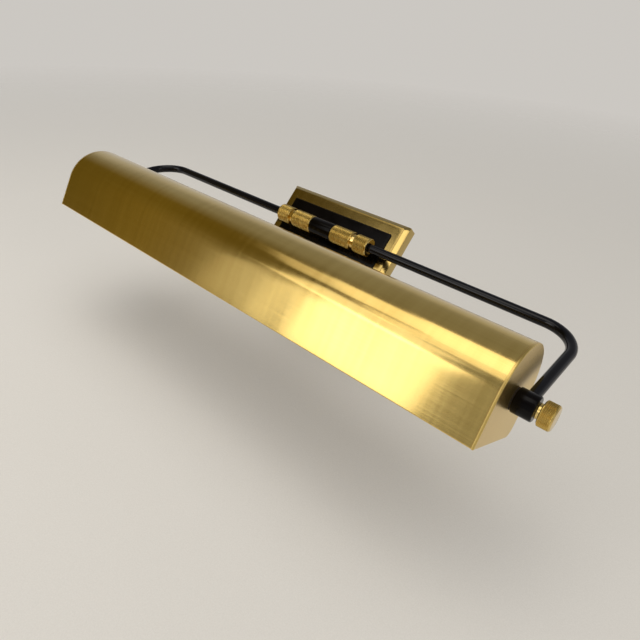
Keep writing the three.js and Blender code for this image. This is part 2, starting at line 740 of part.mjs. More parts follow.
// One folded strip: a long web over the lamps and a tab down each end cap.
function lampChannel() {
  const half = SHADE_HALF - CAP_THICKNESS - SLACK;
  const top = CHANNEL_Z + CHANNEL_THICKNESS;
  const web = block(-half, half, -CHANNEL_WIDTH / 2, CHANNEL_WIDTH / 2, CHANNEL_Z, top);
  const tabHalf = CHANNEL_TAB_WIDTH / 2;
  const tabs = [-1, 1].map((side) => {
    const xs = [side * half, side * (half - CHANNEL_THICKNESS)].sort((a, b) => a - b);
    return block(xs[0], xs[1], -tabHalf, tabHalf, -CHANNEL_TAB_DROP, top);
  });
  const pivotHole = rod('x', NIPPLE_RADIUS + RUNNING, -SHADE_HALF, SHADE_HALF);
  const screwX = BRACKET_X + BRACKET_FOOT / 2;
  const screwHoles = [-1, 1].map((side) => {
    const at = [side * screwX, 0, 0];
    return rod('z', SCREW_HOLE_RADIUS, CHANNEL_Z - PAST, top + PAST, at, 16);
  });
  return cut(join(web, ...tabs), pivotHole, ...screwHoles);
}

function reflector() {
  const outer = new THREE.Shape();
  const [low, high] = [radians(-REFLECTOR_WRAP), radians(180 + REFLECTOR_WRAP)];
  outer.absarc(0, 0, REFLECTOR_RADIUS, high, low, true);
  outer.absarc(0, 0, REFLECTOR_RADIUS - REFLECTOR_THICKNESS, low, high, false);
  return extrudeX(outer, -REFLECTOR_HALF, REFLECTOR_HALF, 9);
}

function lampholder() {
  const socket = LAMP_CAP_RADIUS + SLACK;
  const floor = LAMP_CAP_END + HOLDER_FLOOR;
  return turned([
    [HOLDER_MOUTH, socket],
    [HOLDER_MOUTH, HOLDER_RADIUS - HOLDER_RIM],
    [HOLDER_MOUTH + HOLDER_RIM, HOLDER_RADIUS],
    [HOLDER_STEP, HOLDER_RADIUS],
    [HOLDER_STEP + HOLDER_SLOPE, HOLDER_BASE_RADIUS],
    [HOLDER_BACK, HOLDER_BASE_RADIUS],
    [HOLDER_BACK, HOLDER_SCREW_HOLE],
    [floor, HOLDER_SCREW_HOLE],
    [floor, socket],
  ], 16).translate(0, 0, LAMP_Z);
}

function holderBracket() {
  const top = CHANNEL_Z - TOUCH;
  const [wide, narrow] = [BRACKET_FOOT_HALF, BRACKET_DROP_HALF];
  const [start, end] = [BRACKET_X, BRACKET_X + BRACKET_FOOT];
  const foot = block(start, end, -wide, wide, top - BRACKET_SHEET, top);
  const lowest = LAMP_Z - BRACKET_BELOW_LAMP;
  const drop = block(start, start + BRACKET_SHEET, -narrow, narrow, lowest, top);
  const past = BRACKET_SHEET + PAST;
  const holderHole = rod('x', HOLDER_SCREW_HOLE, start - PAST, start + past, [0, 0, LAMP_Z], 16);
  const at = [(start + end) / 2, 0, 0];
  const footHole = rod('z', SCREW_HOLE_RADIUS, top - past, top + PAST, at, 16);
  return cut(join(foot, drop), holderHole, footHole);
}

function holderScrew() {
  const face = BRACKET_X + BRACKET_SHEET + TOUCH;
  return turned([
    [BRACKET_X - HOLDER_SCREW_REACH, 0],
    [BRACKET_X - HOLDER_SCREW_REACH, HOLDER_SCREW_RADIUS],
    [face, HOLDER_SCREW_RADIUS],
    [face, HOLDER_SCREW_HEAD_RADIUS],
    [face + HOLDER_SCREW_HEAD, HOLDER_SCREW_HEAD_RADIUS],
    [face + HOLDER_SCREW_HEAD, 0],
  ], 20).translate(0, 0, LAMP_Z);
}

function bracketScrew() {
  const at = [BRACKET_X + BRACKET_FOOT / 2, 0, 0];
  const seat = CHANNEL_Z - BRACKET_SHEET - 2 * TOUCH;
  const end = CHANNEL_Z + CHANNEL_THICKNESS + BRACKET_SCREW_PROUD;
  const shank = rod('z', SCREW_RADIUS, seat - PAST, end, at, 16);
  const head = rod('z', BRACKET_SCREW_HEAD_RADIUS, seat - BRACKET_SCREW_HEAD, seat, at, 20);
  return join(shank, head);
}

// Quarter-round profile of a lamp's tip, from the axis out to its side.
function dome(radius, tip) {
  const steps = 4;
  return Array.from({ length: steps + 1 }, (_, k) => {
    const angle = (Math.PI / 2) * (k / steps);
    return [tip + radius * (1 - Math.cos(angle)), radius * Math.sin(angle)];
  });
}

// Glass envelope with a domed tip, open at the neck where the cap closes it.
function lampGlass() {
  const shoulder = LAMP_NECK - GLASS_SHOULDER;
  const end = LAMP_NECK - CLOSE_GAP;
  const side = (offset) => [
    ...dome(LAMP_RADIUS - offset, LAMP_TIP + offset),
    [shoulder, LAMP_RADIUS - offset],
    [end - GLASS_NECK_LENGTH, GLASS_NECK_RADIUS + GLASS_NECK_FLARE - offset],
    [end, GLASS_NECK_RADIUS - offset],
  ];
  return turned([...side(0), ...side(GLASS_WALL).reverse()], 16).translate(0, 0, LAMP_Z);
}

function lampCap() {
  const contactEnd = LAMP_CAP_END + LAMP_CONTACT_HEIGHT;
  return turned([
    [LAMP_NECK, 0],
    [LAMP_NECK, LAMP_CAP_RADIUS - LAMP_CAP_RIM],
    [LAMP_NECK + 2, LAMP_CAP_RADIUS],
    [LAMP_CAP_END - 4, LAMP_CAP_RADIUS],
    [LAMP_CAP_END - 1, LAMP_CONTACT_RADIUS + LAMP_CONTACT_HEIGHT],
    [contactEnd, LAMP_CONTACT_RADIUS],
    [contactEnd, 0],
  ], 24).translate(0, 0, LAMP_Z);
}

// Glass stem, two spiders and the light-giving rods between them.
function lampFilament() {
  const axis = [0, 0, LAMP_Z];
  const [near, far] = [LAMP_NECK - STEM_LENGTH, LAMP_TIP + SPIDER_INSET];
  const stem = rod('x', STEM_RADIUS, near - PAST, LAMP_NECK - 2 * CLOSE_GAP, axis, 12);
  const spiders = [near, far].map((x) => (
    rod('x', SPIDER_RADIUS, x - SPIDER_HALF, x + SPIDER_HALF, axis, 12)
  ));
  const rods = Array.from({ length: FILAMENT_RODS }, (_, k) => {
    const angle = ((k + 0.5) * 2 * Math.PI) / FILAMENT_RODS;
    const [y, z] = [FILAMENT_CIRCLE * Math.cos(angle), FILAMENT_CIRCLE * Math.sin(angle)];
    return rod('x', FILAMENT_RADIUS, far, near, [0, y, LAMP_Z + z], 6);
  });
  return join(stem, ...spiders, ...rods);
}

function addLamps(group) {
  addPair(group, 'lampholder', lampholder(), 'porcelain');
  addPair(group, 'holder_bracket', holderBracket(), 'zincSteel');
  addPair(group, 'holder_screw', holderScrew(), 'zincSteel');
  addPair(group, 'bracket_screw', bracketScrew(), 'zincSteel');
  addPair(group, 'lamp_cap', lampCap(), 'nickel');
  addPair(group, 'lamp_glass', lampGlass(), 'glass');
  addPair(group, 'lamp_filament', lampFilament(), 'filament');
}

function addShadeLeads(group) {
  const holderEnd = BRACKET_X + CLOSE_GAP;
  const shortRoute = [
    [LEAD_START_X, LEAD_PIVOT_Y, 0],
    [LEAD_TURN_X, LEAD_PIVOT_Y, 0],
    [LEAD_DROP_X, LEAD_TERMINAL_Y, LAMP_Z],
    [holderEnd, LEAD_TERMINAL_Y, LAMP_Z],
  ];
  const longRoute = [
    [LEAD_START_X, -LEAD_PIVOT_Y, 0],
    [LEAD_TURN_X, -LEAD_PIVOT_Y, 0],
    [LEAD_DROP_X, -LEAD_Y, LEAD_Z],
    [LEAD_FAR_X, -LEAD_Y, LEAD_Z],
    [LEAD_FAR_X, -LEAD_TERMINAL_Y, LAMP_Z],
    [-holderEnd, -LEAD_TERMINAL_Y, LAMP_Z],
  ];
  const leadRight = lead(shortRoute, LEAD_RADIUS, SHADE_LEAD_BEND);
  const leadLeft = lead(longRoute, LEAD_RADIUS, SHADE_LEAD_BEND);
  group.add(piece('shade_lead_right', leadRight, 'cable'));
  group.add(piece('shade_lead_left', leadLeft, 'cable'));
  addPair(group, 'lead_clip', leadClip(), 'whitePlastic');
}

function leadClip() {
  const [start, end] = [CLIP_X - CLIP_HALF_LENGTH, CLIP_X + CLIP_HALF_LENGTH];
  const [front, back] = [-LEAD_Y - CLIP_HALF_WIDTH, -LEAD_Y + CLIP_HALF_WIDTH];
  const clip = block(start, end, front, back, LEAD_Z - CLIP_HALF_WIDTH, CHANNEL_Z - TOUCH);
  const at = [0, -LEAD_Y, LEAD_Z];
  return cut(clip, rod('x', LEAD_RADIUS + CLOSE_GAP, start - PAST, end + PAST, at, 12));
}

function shade() {
  const group = new THREE.Group();
  const drop = radians(ARM_DROP);
  group.position.y = -BAR_STANDOFF - ARM_REACH * Math.cos(drop);
  group.position.z = -ARM_REACH * Math.sin(drop);
  group.rotation.x = radians(SHADE_TILT);
  group.add(piece('shade_shell', shadeShell(), 'satinBrass'));
  addPair(group, 'end_cap', endCap(), 'satinBrass');
  addPivots(group);
  group.add(piece('lamp_channel', lampChannel(), 'whitePaint'));
  group.add(piece('reflector', reflector(), 'whitePaint'));
  const spacerTop = REFLECTOR_RADIUS - REFLECTOR_THICKNESS - SLACK;
  const spacerFoot = CHANNEL_Z + CHANNEL_THICKNESS + TOUCH;
  const spacer = rod('z', SPACER_RADIUS, spacerFoot, spacerTop, [SPACER_X, 0, 0], 16);
  addPair(group, 'reflector_spacer', spacer, 'nickel');
  addLamps(group);
  addShadeLeads(group);
  return group;
}

// ---------------------------------------------------------------- picture light

function pictureLight() {
  const group = new THREE.Group();
  group.add(wallBracket(), arm(), shade());
  return group;
}

export default pictureLight();
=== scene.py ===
"""Picture light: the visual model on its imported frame, with a plain pale studio.

Shapes are drawn in millimetres in local frames: WALL (the row frame), BAR (on the bar's axis),
ARM (turned with the arm), SHADE (on the shade's pivot, turned with the shade) and LAMPS (SHADE
raised to the lamps' axis).
"""
import json
import math

import bmesh
import bpy
from mathutils import Matrix, Vector

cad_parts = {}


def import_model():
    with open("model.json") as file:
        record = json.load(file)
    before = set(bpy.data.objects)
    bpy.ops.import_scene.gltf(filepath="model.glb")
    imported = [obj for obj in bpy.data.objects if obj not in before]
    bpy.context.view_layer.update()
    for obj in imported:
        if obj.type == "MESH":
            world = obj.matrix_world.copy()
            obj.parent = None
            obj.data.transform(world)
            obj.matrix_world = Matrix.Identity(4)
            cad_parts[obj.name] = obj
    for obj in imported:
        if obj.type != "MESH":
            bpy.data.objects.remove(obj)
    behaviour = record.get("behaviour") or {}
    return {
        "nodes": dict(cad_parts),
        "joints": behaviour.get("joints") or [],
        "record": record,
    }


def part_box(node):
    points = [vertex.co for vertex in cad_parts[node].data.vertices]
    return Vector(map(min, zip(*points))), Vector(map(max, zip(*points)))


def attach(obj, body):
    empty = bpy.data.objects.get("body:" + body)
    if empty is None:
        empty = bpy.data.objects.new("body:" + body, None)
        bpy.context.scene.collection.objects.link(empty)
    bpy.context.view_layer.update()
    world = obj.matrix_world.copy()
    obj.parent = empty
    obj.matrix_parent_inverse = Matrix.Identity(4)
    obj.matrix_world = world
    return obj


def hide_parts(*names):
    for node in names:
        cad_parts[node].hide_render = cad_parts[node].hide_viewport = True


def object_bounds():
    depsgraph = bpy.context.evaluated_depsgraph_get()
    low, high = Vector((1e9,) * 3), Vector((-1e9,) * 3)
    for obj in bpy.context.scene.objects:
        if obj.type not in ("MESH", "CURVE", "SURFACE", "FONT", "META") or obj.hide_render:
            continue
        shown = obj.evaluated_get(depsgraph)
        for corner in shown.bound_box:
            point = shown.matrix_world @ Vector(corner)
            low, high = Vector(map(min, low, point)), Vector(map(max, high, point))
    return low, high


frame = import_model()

CAD_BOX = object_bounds()

MM = 0.001
SIDES = 96            # round pieces
FINE_SIDES = 48       # small round pieces
ARCH_SIDES = 96       # the shade's arch and the reflector
HANDS = ((1, "right"), (-1, "left"))

NEARLY_STRAIGHT = math.radians(168)

# Sizes of the design that no box gives directly, in millimetres
SHADE_TILT = 15       # degrees about the pivot at rest
ARCH_RADIUS = 45
SKIRT = 38            # straight wall below the pivot
SHEET = 1.2
CORNER_RADIUS = 10
LIP = 8
HEM_HEIGHT = 8
HEM_THICKNESS = 2.6
CAP_EDGE = 0.5
REFLECTOR_RADIUS = 40.6
REFLECTOR_SHEET = 0.8
REFLECTOR_WRAP = 10   # degrees that it reaches below level
PLATE_CHAMFER = 5
PLATE_WALL = 2
PLATE_CORNER = 0.8
POST_HOLE_RADIUS = 5.2
INSET_CHAMFER = 0.7
TUBE_RADIUS = 5
TUBE_BORE = 3.8
BEND_RADIUS = 35
LEG_GAP = 5.6         # from the pivot to the end of the tube's leg
GRIP_RADIUS = 10.5    # sleeves, collars, hubs and knobs
RIM_RADIUS = 10.4     # the plain rims beside a knurl
BARREL_HALF = 16
SLEEVE_STEP = 28.3    # where the sleeve's bore narrows from the stub to the tube
GRIP_END = 45
GROOVE_END = 50
STUB_RADIUS = 7
POST_RADIUS = 8
GROOVE_RADIUS = 8.4
SPIGOT_RADIUS = 7.4
COLLAR_MOUTH = 6.3
COLLAR_RING = 3
NIPPLE_RADIUS = 5
NIPPLE_BORE = 3.3
NIPPLE_HOLE = 5.1     # in the nut and the washer
NUT_FLATS = 14
WASHER_RADIUS = 9.5
NECK_RADIUS = 6.4
KNOB_FACE = 316
KNOB_BORE_END = 323
KNOB_BEVEL = 1.1
CLEARANCE = 0.08
GRUB_DEPTH = 7
GRUB_RADIUS = 2.0
GRUB_HOLE_RADIUS = 2.1
LAMP_Z = 4
LAMP_RADIUS = 15
LAMP_WALL = 1.0
LAMP_CAP_RADIUS = 7
HOLDER_RADIUS = 13
HOLDER_BACK_RADIUS = 14.2
HOLDER_WAIST = 199
HOLDER_SHOULDER = 202
HOLDER_WELL = 202.5
BRACKET_SCREW_X = 230
LEAD_RADIUS = 1.5
LEAD_BEND = 8

# Knurls: real grooves, one ring of diamonds about a millimetre across
KNURL_AROUND = 66
KNURL_PITCH = 1.0
KNURL_DEPTH = 0.18
KNURL_SHARP = 18      # degrees

# Studio, in metres. A pane is its place across and toward the viewer, its width, its depth
# if it hangs overhead, and its brightness.
WINDOW_PANES = ((-0.505, 1.42, 0.58, 1.9), (-0.85, 1.28, 0.12, 0.8), (-1.00, 1.21, 0.18, 0.32))
WINDOW_HEIGHT = 0.60
CEILING_PANES = ((-0.12, 0.33, 0.62, 0.84, 1.6), (-0.64, 0.35, 0.42, 0.66, 1.2),
                 (-1.02, 0.36, 0.34, 0.56, 0.6), (-0.40, 0.95, 0.72, 0.40, 1.1))
CEILING_HEIGHT = 1.6
DAYLIGHT = (1.0, 0.97, 0.95)
WARM = (1.0, 0.94, 0.86)
BACKDROP = (0.60, 0.575, 0.54)
FLOOR_HALF = 3.0
FLOOR_FADE = (0.8, 2.6)
FLOOR_CLEARANCE = 4   # below the lowest reach of arm and shade, in millimetres

scene = bpy.context.scene

# What the record says of each CAD node
RECORD = frame["record"]
BODIES = RECORD["behaviour"]["bodies"]
BODY_OF = {node: body for body, nodes in BODIES.items() for node in nodes}
SLOT_OF = {part["node"]: part["material_slot"] for part in RECORD["subparts"]}


# ---------- frames

def joint_point(name):
    joint = next(j for j in frame["joints"] if j["name"] == name)
    return Vector(joint["pos_m"])


BAR_POINT = joint_point("arm_tilt")
PIVOT_POINT = joint_point("shade_tilt")
REACH = PIVOT_POINT - BAR_POINT
ARM_DROP = math.atan2(-REACH.z, -REACH.y)
ARM_LENGTH = REACH.length / MM

WALL = Matrix.Identity(4)
BAR = Matrix.Translation(BAR_POINT)
ARM = BAR @ Matrix.Rotation(ARM_DROP, 4, "X")
SHADE = Matrix.Translation(PIVOT_POINT) @ Matrix.Rotation(math.radians(SHADE_TILT), 4, "X")
LAMPS = SHADE @ Matrix.Translation((0, 0, LAMP_Z * MM))


def span(node, axis=0):
    """Lowest and highest coordinate of a CAD node along an axis, in millimetres."""
    low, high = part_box(node)
    return low[axis] / MM, high[axis] / MM


def ends(node):
    """How far a CAD node's inner and outer ends lie from the middle plane."""
    return sorted(abs(value) for value in span(node))


# ---------- outlines

def rounded(outline, radius, steps=3, ring=False):
    """The outline with each corner turned into a small curve, except where it is nearly
    straight and, unless it is a ring, at its two ends."""
    result = []
    count = len(outline)
    for i, corner in enumerate(outline):
        here = Vector(corner)
        before = Vector(outline[i - 1]) - here
        after = Vector(outline[(i + 1) % count]) - here
        at_end = not ring and i in (0, count - 1)
        if at_end or before.angle(after) > NEARLY_STRAIGHT:
            result.append(tuple(corner))
            continue
        reach = min(radius, 0.45 * before.length, 0.45 * after.length)
        start = here + before.normalized() * reach
        end = here + after.normalized() * reach
        for k in range(steps + 1):
            t = k / steps
            point = start * (1 - t) ** 2 + here * (2 * t * (1 - t)) + end * t ** 2
            result.append(tuple(point))
    return result


def band(start, end, outer, inner=0):
    """The profile of a plain rod or, with an inner radius, a plain ring."""
    return [(start, inner), (start, outer), (end, outer), (end, inner)]


def circle(radius, count, phase=0.0):
    turn = 2 * math.pi / count
    return [(radius * math.cos(phase + turn * k), radius * math.sin(phase + turn * k))
            for k in range(count)]


def hexagon(across_flats, count):
    """A hexagon drawn with as many points as a circle beside it."""
    points = []
    for a, b in circle(1, count):
        angle = math.atan2(b, a) % (math.pi / 3) - math.pi / 6
        size = across_flats / 2 / math.cos(angle)
        points.append((a * size, b * size))
    return points


def rectangle(width, height, corner, count):
    """A rounded rectangle whose points are spread evenly in angle seen from its centre."""
    return [_edge_hit(a, b, width / 2, height / 2, corner)
            for a, b in circle(1, count, math.pi / count)]


def _edge_hit(a, b, half_width, half_height, corner):
    """Where a ray from the centre leaves a rounded rectangle."""
    scale = min(half_width / abs(a), half_height / abs(b))
    x, y = abs(a) * scale, abs(b) * scale
    inner_x, inner_y = half_width - corner, half_height - corner
    if x > inner_x and y > inner_y:
        along = abs(a) * inner_x + abs(b) * inner_y
        off = inner_x ** 2 + inner_y ** 2 - corner ** 2
        scale = along + math.sqrt(max(along ** 2 - off, 0))
        x, y = abs(a) * scale, abs(b) * scale
    return math.copysign(x, a), math.copysign(y, b)


# ---------- lofted solids

def loft(rings, looped=False, parity=None):
    """Points and faces of a closed skin through rings. A ring of one point is a pole."""
    points = [point for ring in rings for point in ring]
    starts = [0]
    for ring in rings:
        starts.append(starts[-1] + len(ring))
    faces = []
    count = len(rings)
    for low in range(count if looped else count - 1):
        high = (low + 1) % count
        mark = None if parity is None or parity[high] is None else parity[low]
        faces += _strip(starts, rings, low, high, mark)
    if not looped:
        for index in (0, count - 1):
            if len(rings[index]) > 1:
                faces.append(tuple(range(starts[index], starts[index + 1])))
    return points, faces


def _strip(starts, rings, low, high, mark):
    """Faces between two neighbouring rings. Knurled rings are split along their grooves."""
    first, second = starts[low], starts[high]
    count = max(len(rings[low]), len(rings[high]))
    faces = []
    for j in range(count):
        k = (j + 1) % count
        if len(rings[low]) == 1:
            faces.append((first, second + k, second + j))
        elif len(rings[high]) == 1:
            faces.append((first + j, first + k, second))
        elif mark is None:
            faces.append((first + j, first + k, second + k, second + j))
        elif (j + mark) % 2 == 0:
            faces.append((first + j, first + k, second + k))
            faces.append((first + j, second + k, second + j))
        else:
            faces.append((first + j, first + k, second + j))
            faces.append((first + k, second + k, second + j))
    return faces


def turned(profile, side=1, sides=SIDES):
    """A piece turned round X from (x, radius) points; a third value marks a knurled ring."""
    rings, parity = [], []
    looped = profile[0][1] > 0 and profile[-1][1] > 0
    for x, radius, *mark in profile:
        parity.append(mark[0] if mark else None)
        if radius <= 0:
            rings.append([(side * x, 0, 0)])
            continue
        ring = []
        for j, (a, b) in enumerate(circle(1, sides)):
            size = radius - (KNURL_DEPTH if mark and (j + mark[0]) % 2 == 0 else 0)
            ring.append((side * x, a * size, b * size))
        rings.append(ring)
    return loft(rings, looped, parity)


def knurl(start, end):
    """Rings of a diamond knurl: grooves run both ways round, half a pitch from row to row."""
    rows = 2 * round((end - start) / KNURL_PITCH)
    return [(start + (end - start) * k / rows, GRIP_RADIUS, k % 2) for k in range(rows + 1)]


def extruded(section, x0, x1):
    """A closed (y, z) section drawn out along X."""
    return loft([[(x, y, z) for y, z in section] for x in (x0, x1)])


def bent_path(corners, radius, steps=16):
    """Points of a run of straights with an arc at each corner."""
    corners = [Vector(corner) for corner in corners]
    path = [corners[0]]
    for i in range(1, len(corners) - 1):
        before = (corners[i] - corners[i - 1]).normalized()
        after = (corners[i + 1] - corners[i]).normalized()
        turn = before.angle(after)
        axis = before.cross(after).normalized()
        start = corners[i] - before * (radius * math.tan(turn / 2))
        spoke = before.cross(axis) * radius
        centre = start - spoke
        for k in range(steps + 1):
            path.append(centre + Matrix.Rotation(turn * k / steps, 3, axis) @ spoke)
    path.append(corners[-1])
    return path


def swept(path, radius, bore=0.0, sides=FINE_SIDES):
    """A round rod or tube along a path, with frames carried along so that it never twists."""
    tangents = []
    for i in range(len(path)):
        ahead = path[min(i + 1, len(path) - 1)] - path[max(i - 1, 0)]
        tangents.append(ahead.normalized())
    tangents[0] = (path[1] - path[0]).normalized()
    tangents[-1] = (path[-1] - path[-2]).normalized()
    normal = tangents[0].orthogonal().normalized()
    frames = []
    for i, tangent in enumerate(tangents):
        if i:
            normal = tangents[i - 1].rotation_difference(tangent) @ normal
        frames.append((path[i], normal.copy(), tangent.cross(normal)))

    def skin(size):
        return [[tuple(point + u * a + v * b) for a, b in circle(size, sides)]
                for point, u, v in frames]

    if not bore:
        return loft(skin(radius))
    return loft(skin(radius) + skin(bore)[::-1], looped=True)


# ---------- pieces

def shown(name, data):
    """A new object in the scene."""
    made = bpy.data.objects.new(name, data)
    scene.collection.objects.link(made)
    return made


def add_object(name, drawn, place, sharp=30):
    """A mesh object from drawn points and faces, in metres, shaded smooth between sharp edges."""
    points, faces = drawn
    mesh = bpy.data.meshes.new(name)
    mesh.from_pydata([place @ (Vector(point) * MM) for point in points], [], faces)
    tidy = bmesh.new()
    tidy.from_mesh(mesh)
    bmesh.ops.remove_doubles(tidy, verts=tidy.verts, dist=1e-7)
    bmesh.ops.recalc_face_normals(tidy, faces=tidy.faces)
    tidy.to_mesh(mesh)
    tidy.free()
    mesh.shade_smooth()
    mesh.set_sharp_from_angle(angle=math.radians(sharp))
    return shown(name, mesh)


def combine(made, operation, *others):
    """Cuts other objects out of this one ('DIFFERENCE') or joins them to it ('UNION')."""
    for other in others:
        step = made.modifiers.new("step", "BOOLEAN")
        step.operation = operation
        step.solver = "EXACT"
        step.object = other
    bpy.context.view_layer.update()
    solved = bpy.data.meshes.new_from_object(
        made.evaluated_get(bpy.context.evaluated_depsgraph_get()))
    made.modifiers.clear()
    made.data = solved
    for other in others:
        bpy.data.objects.remove(other)
    made.data.shade_smooth()
    made.data.set_sharp_from_angle(angle=math.radians(30))


def dress(made, finish):
    made.data.materials.clear()
    made.data.materials.append(FINISHES[finish].material)


def settle(made, node, finish=None):
    """Gives a piece its CAD node's finish, or another one, and its body, and lets it stand
    for the node."""
    made.name = f"{node}_fine"
    dress(made, finish or SLOT_OF[node])
    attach(made, BODY_OF[node])
    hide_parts(node)
    return made


def piece(node, drawn, place, sharp=30, finish=None):
    return settle(add_object(node, drawn, place, sharp), node, finish)


def softened(node, width):
    """A copy of a CAD node's mesh with its hard edges broken, for folded and moulded pieces."""
    work = bmesh.new()
    work.from_mesh(frame["nodes"][node].data)
    bmesh.ops.remove_doubles(work, verts=work.verts, dist=1e-6)
    bmesh.ops.dissolve_limit(work, angle_limit=math.radians(1), verts=work.verts,
                             edges=work.edges, use_dissolve_boundaries=False)
    hard = [edge for edge in work.edges
            if len(edge.link_faces) == 2 and edge.calc_face_angle() > math.radians(35)]
    bmesh.ops.bevel(work, geom=hard, offset=width * MM, segments=2, profile=0.6,
                    affect="EDGES", clamp_overlap=True)
    bmesh.ops.recalc_face_normals(work, faces=work.faces)
    mesh = bpy.data.meshes.new(node)
    work.to_mesh(mesh)
    work.free()
    mesh.shade_smooth()
    mesh.set_sharp_from_angle(angle=math.radians(40))
    return settle(shown(node, mesh), node)


def upright(place, x, y, axis):
    """A frame at (x, y, 0) in millimetres whose X runs along 'y' or 'z' of place."""
    shift = Matrix.Translation(Vector((x, y, 0)) * MM)
    if axis == "y":
        return place @ shift @ Matrix.Rotation(math.pi / 2, 4, "Z")
    return place @ shift @ Matrix.Rotation(-math.pi / 2, 4, "Y")


# ---------- finishes

class Finish:
    """A Principled material, with textures laid out in the piece's own frame."""

    def __init__(self, name, **sockets):
        self.material = bpy.data.materials.new(name)
        self.material.use_nodes = True
        self.nodes = self.material.node_tree.nodes
        self.links = self.material.node_tree.links
        self.shader = self.nodes["Principled BSDF"]
        for label, value in sockets.items():
            self.shader.inputs[label.replace("_", " ")].default_value = value
        self.place = self.nodes.new("ShaderNodeTexCoord").outputs["Object"]

    def scaled(self, scale):
        mapping = self.nodes.new("ShaderNodeMapping")
        mapping.inputs["Scale"].default_value = scale
        self.links.new(self.place, mapping.inputs["Vector"])
        return mapping.outputs["Vector"]

    def noise(self, scale, detail=3, roughness=0.5):
        """Noise with this many features per metre, along X, Y and Z or every way alike."""
        scale = scale if isinstance(scale, tuple) else (scale,) * 3
        texture = self.nodes.new("ShaderNodeTexNoise")
        texture.inputs["Scale"].default_value = 1
        texture.inputs["Detail"].default_value = detail
        texture.inputs["Roughness"].default_value = roughness
        self.links.new(self.scaled(scale), texture.inputs["Vector"])
        return texture.outputs["Fac"]

    def cells(self, scale):
        texture = self.nodes.new("ShaderNodeTexVoronoi")
        texture.inputs["Scale"].default_value = 1
        self.links.new(self.scaled(scale), texture.inputs["Vector"])
        return texture.outputs["Color"]

    def spread(self, value, low, high, start=0.3, end=0.7):
        node = self.nodes.new("ShaderNodeMapRange")
        for label, number in zip(("From Min", "From Max", "To Min", "To Max"),
                                 (start, end, low, high)):
            node.inputs[label].default_value = number
        self.links.new(value, node.inputs["Value"])
        return node.outputs["Result"]

    def total(self, first, second, operation="ADD"):
        node = self.nodes.new("ShaderNodeMath")
        node.operation = operation
        self.links.new(first, node.inputs[0])
        self.links.new(second, node.inputs[1])
        return node.outputs[0]

    def colours(self, value, *stops):
        """Colours at even steps between 0.3 and 0.7 of a texture."""
        ramp = self.nodes.new("ShaderNodeValToRGB").color_ramp
        node = self.nodes[-1]
        while len(ramp.elements) < len(stops):
            ramp.elements.new(0.5)
        for k, (element, colour) in enumerate(zip(ramp.elements, stops)):
            element.position = 0.3 + 0.4 * k / (len(stops) - 1)
            element.color = (*colour, 1)
        self.links.new(value, node.inputs["Fac"])
        self.links.new(node.outputs["Color"], self.shader.inputs["Base Color"])

    def rough(self, value, low, high):
        self.links.new(self.spread(value, low, high), self.shader.inputs["Roughness"])

    def bump(self, height, depth, strength=1.0):
        """Relief of a texture, depth in millimetres."""
        node = self.nodes.new("ShaderNodeBump")
        node.inputs["Distance"].default_value = depth * MM
        node.inputs["Strength"].default_value = strength
        self.links.new(height, node.inputs["Height"])
        self.links.new(node.outputs["Normal"], self.shader.inputs["Normal"])


def satin_brass(name, depth=1.0, extra=0.0):
    """Brushed brass under clear lacquer: hairlines along X, faint cross streaks, soft clouds.
    A lower depth darkens the metal as painted shade, and extra is added to its roughness."""
    finish = Finish(name, Metallic=1.0, Coat_Weight=0.25, Coat_Roughness=0.14 + extra)
    hairlines = finish.noise((5, 1500, 1500), detail=4, roughness=0.65)
    streaks = finish.noise((150, 5, 5), detail=3, roughness=0.6)
    clouds = finish.noise((9, 14, 14), detail=2)
    mixed = finish.total(finish.total(hairlines, streaks), clouds)
    third = finish.spread(mixed, 0, 1, start=0, end=3)
    tones = ((0.68, 0.47, 0.125), (0.80, 0.57, 0.175), (0.88, 0.65, 0.22))
    finish.colours(third, *[tuple(depth * part for part in tone) for tone in tones])
    sheen = finish.total(finish.spread(hairlines, 0.10 + extra, 0.16 + extra),
                         finish.spread(streaks, 0.0, 0.025))
    finish.links.new(sheen, finish.shader.inputs["Roughness"])
    finish.bump(finish.total(hairlines, finish.spread(streaks, 0, 0.3)), 0.006, 0.25)
    return finish


def knurled_brass():
    """Bright turned brass, a little browner in soft clouds."""
    finish = Finish("knurled_brass", Metallic=1.0)
    turning = finish.noise((2600, 60, 60), detail=2)
    clouds = finish.noise(120)
    finish.colours(clouds, (0.50, 0.34, 0.08), (0.58, 0.40, 0.105), (0.66, 0.46, 0.13))
    finish.rough(turning, 0.22, 0.3)
    finish.bump(turning, 0.006, 0.3)
    return finish


def polished_brass():
    """Turned brass, polished: faint rings and a little tarnish."""
    finish = Finish("polished_brass", Metallic=1.0)
    rings = finish.noise((1500, 40, 40), detail=2)
    tarnish = finish.noise(200)
    finish.colours(tarnish, (0.70, 0.50, 0.17), (0.78, 0.57, 0.21), (0.84, 0.63, 0.26))
    finish.rough(rings, 0.10, 0.17)
    finish.bump(rings, 0.003, 0.2)
    return finish


def black_gloss():
    """Gloss black lacquer with a faint orange peel."""
    finish = Finish("black_gloss", IOR=1.45, Specular_IOR_Level=0.32)
    peel = finish.noise(420, detail=2)
    clouds = finish.noise((30, 60, 60))
    finish.colours(clouds, (0.0015, 0.0015, 0.003), (0.003, 0.003, 0.006))
    finish.rough(clouds, 0.06, 0.11)
    finish.bump(peel, 0.01, 0.2)
    return finish


def black_satin():
    """Satin black coating with a fine grain."""
    finish = Finish("black_satin", IOR=1.45, Specular_IOR_Level=0.16)
    grain = finish.noise(2400, detail=2)
    clouds = finish.noise((40, 60, 60))
    finish.colours(clouds, (0.001, 0.0006, 0.0006), (0.003, 0.0018, 0.0018))
    finish.rough(clouds, 0.14, 0.22)
    finish.bump(grain, 0.006, 0.3)
    return finish


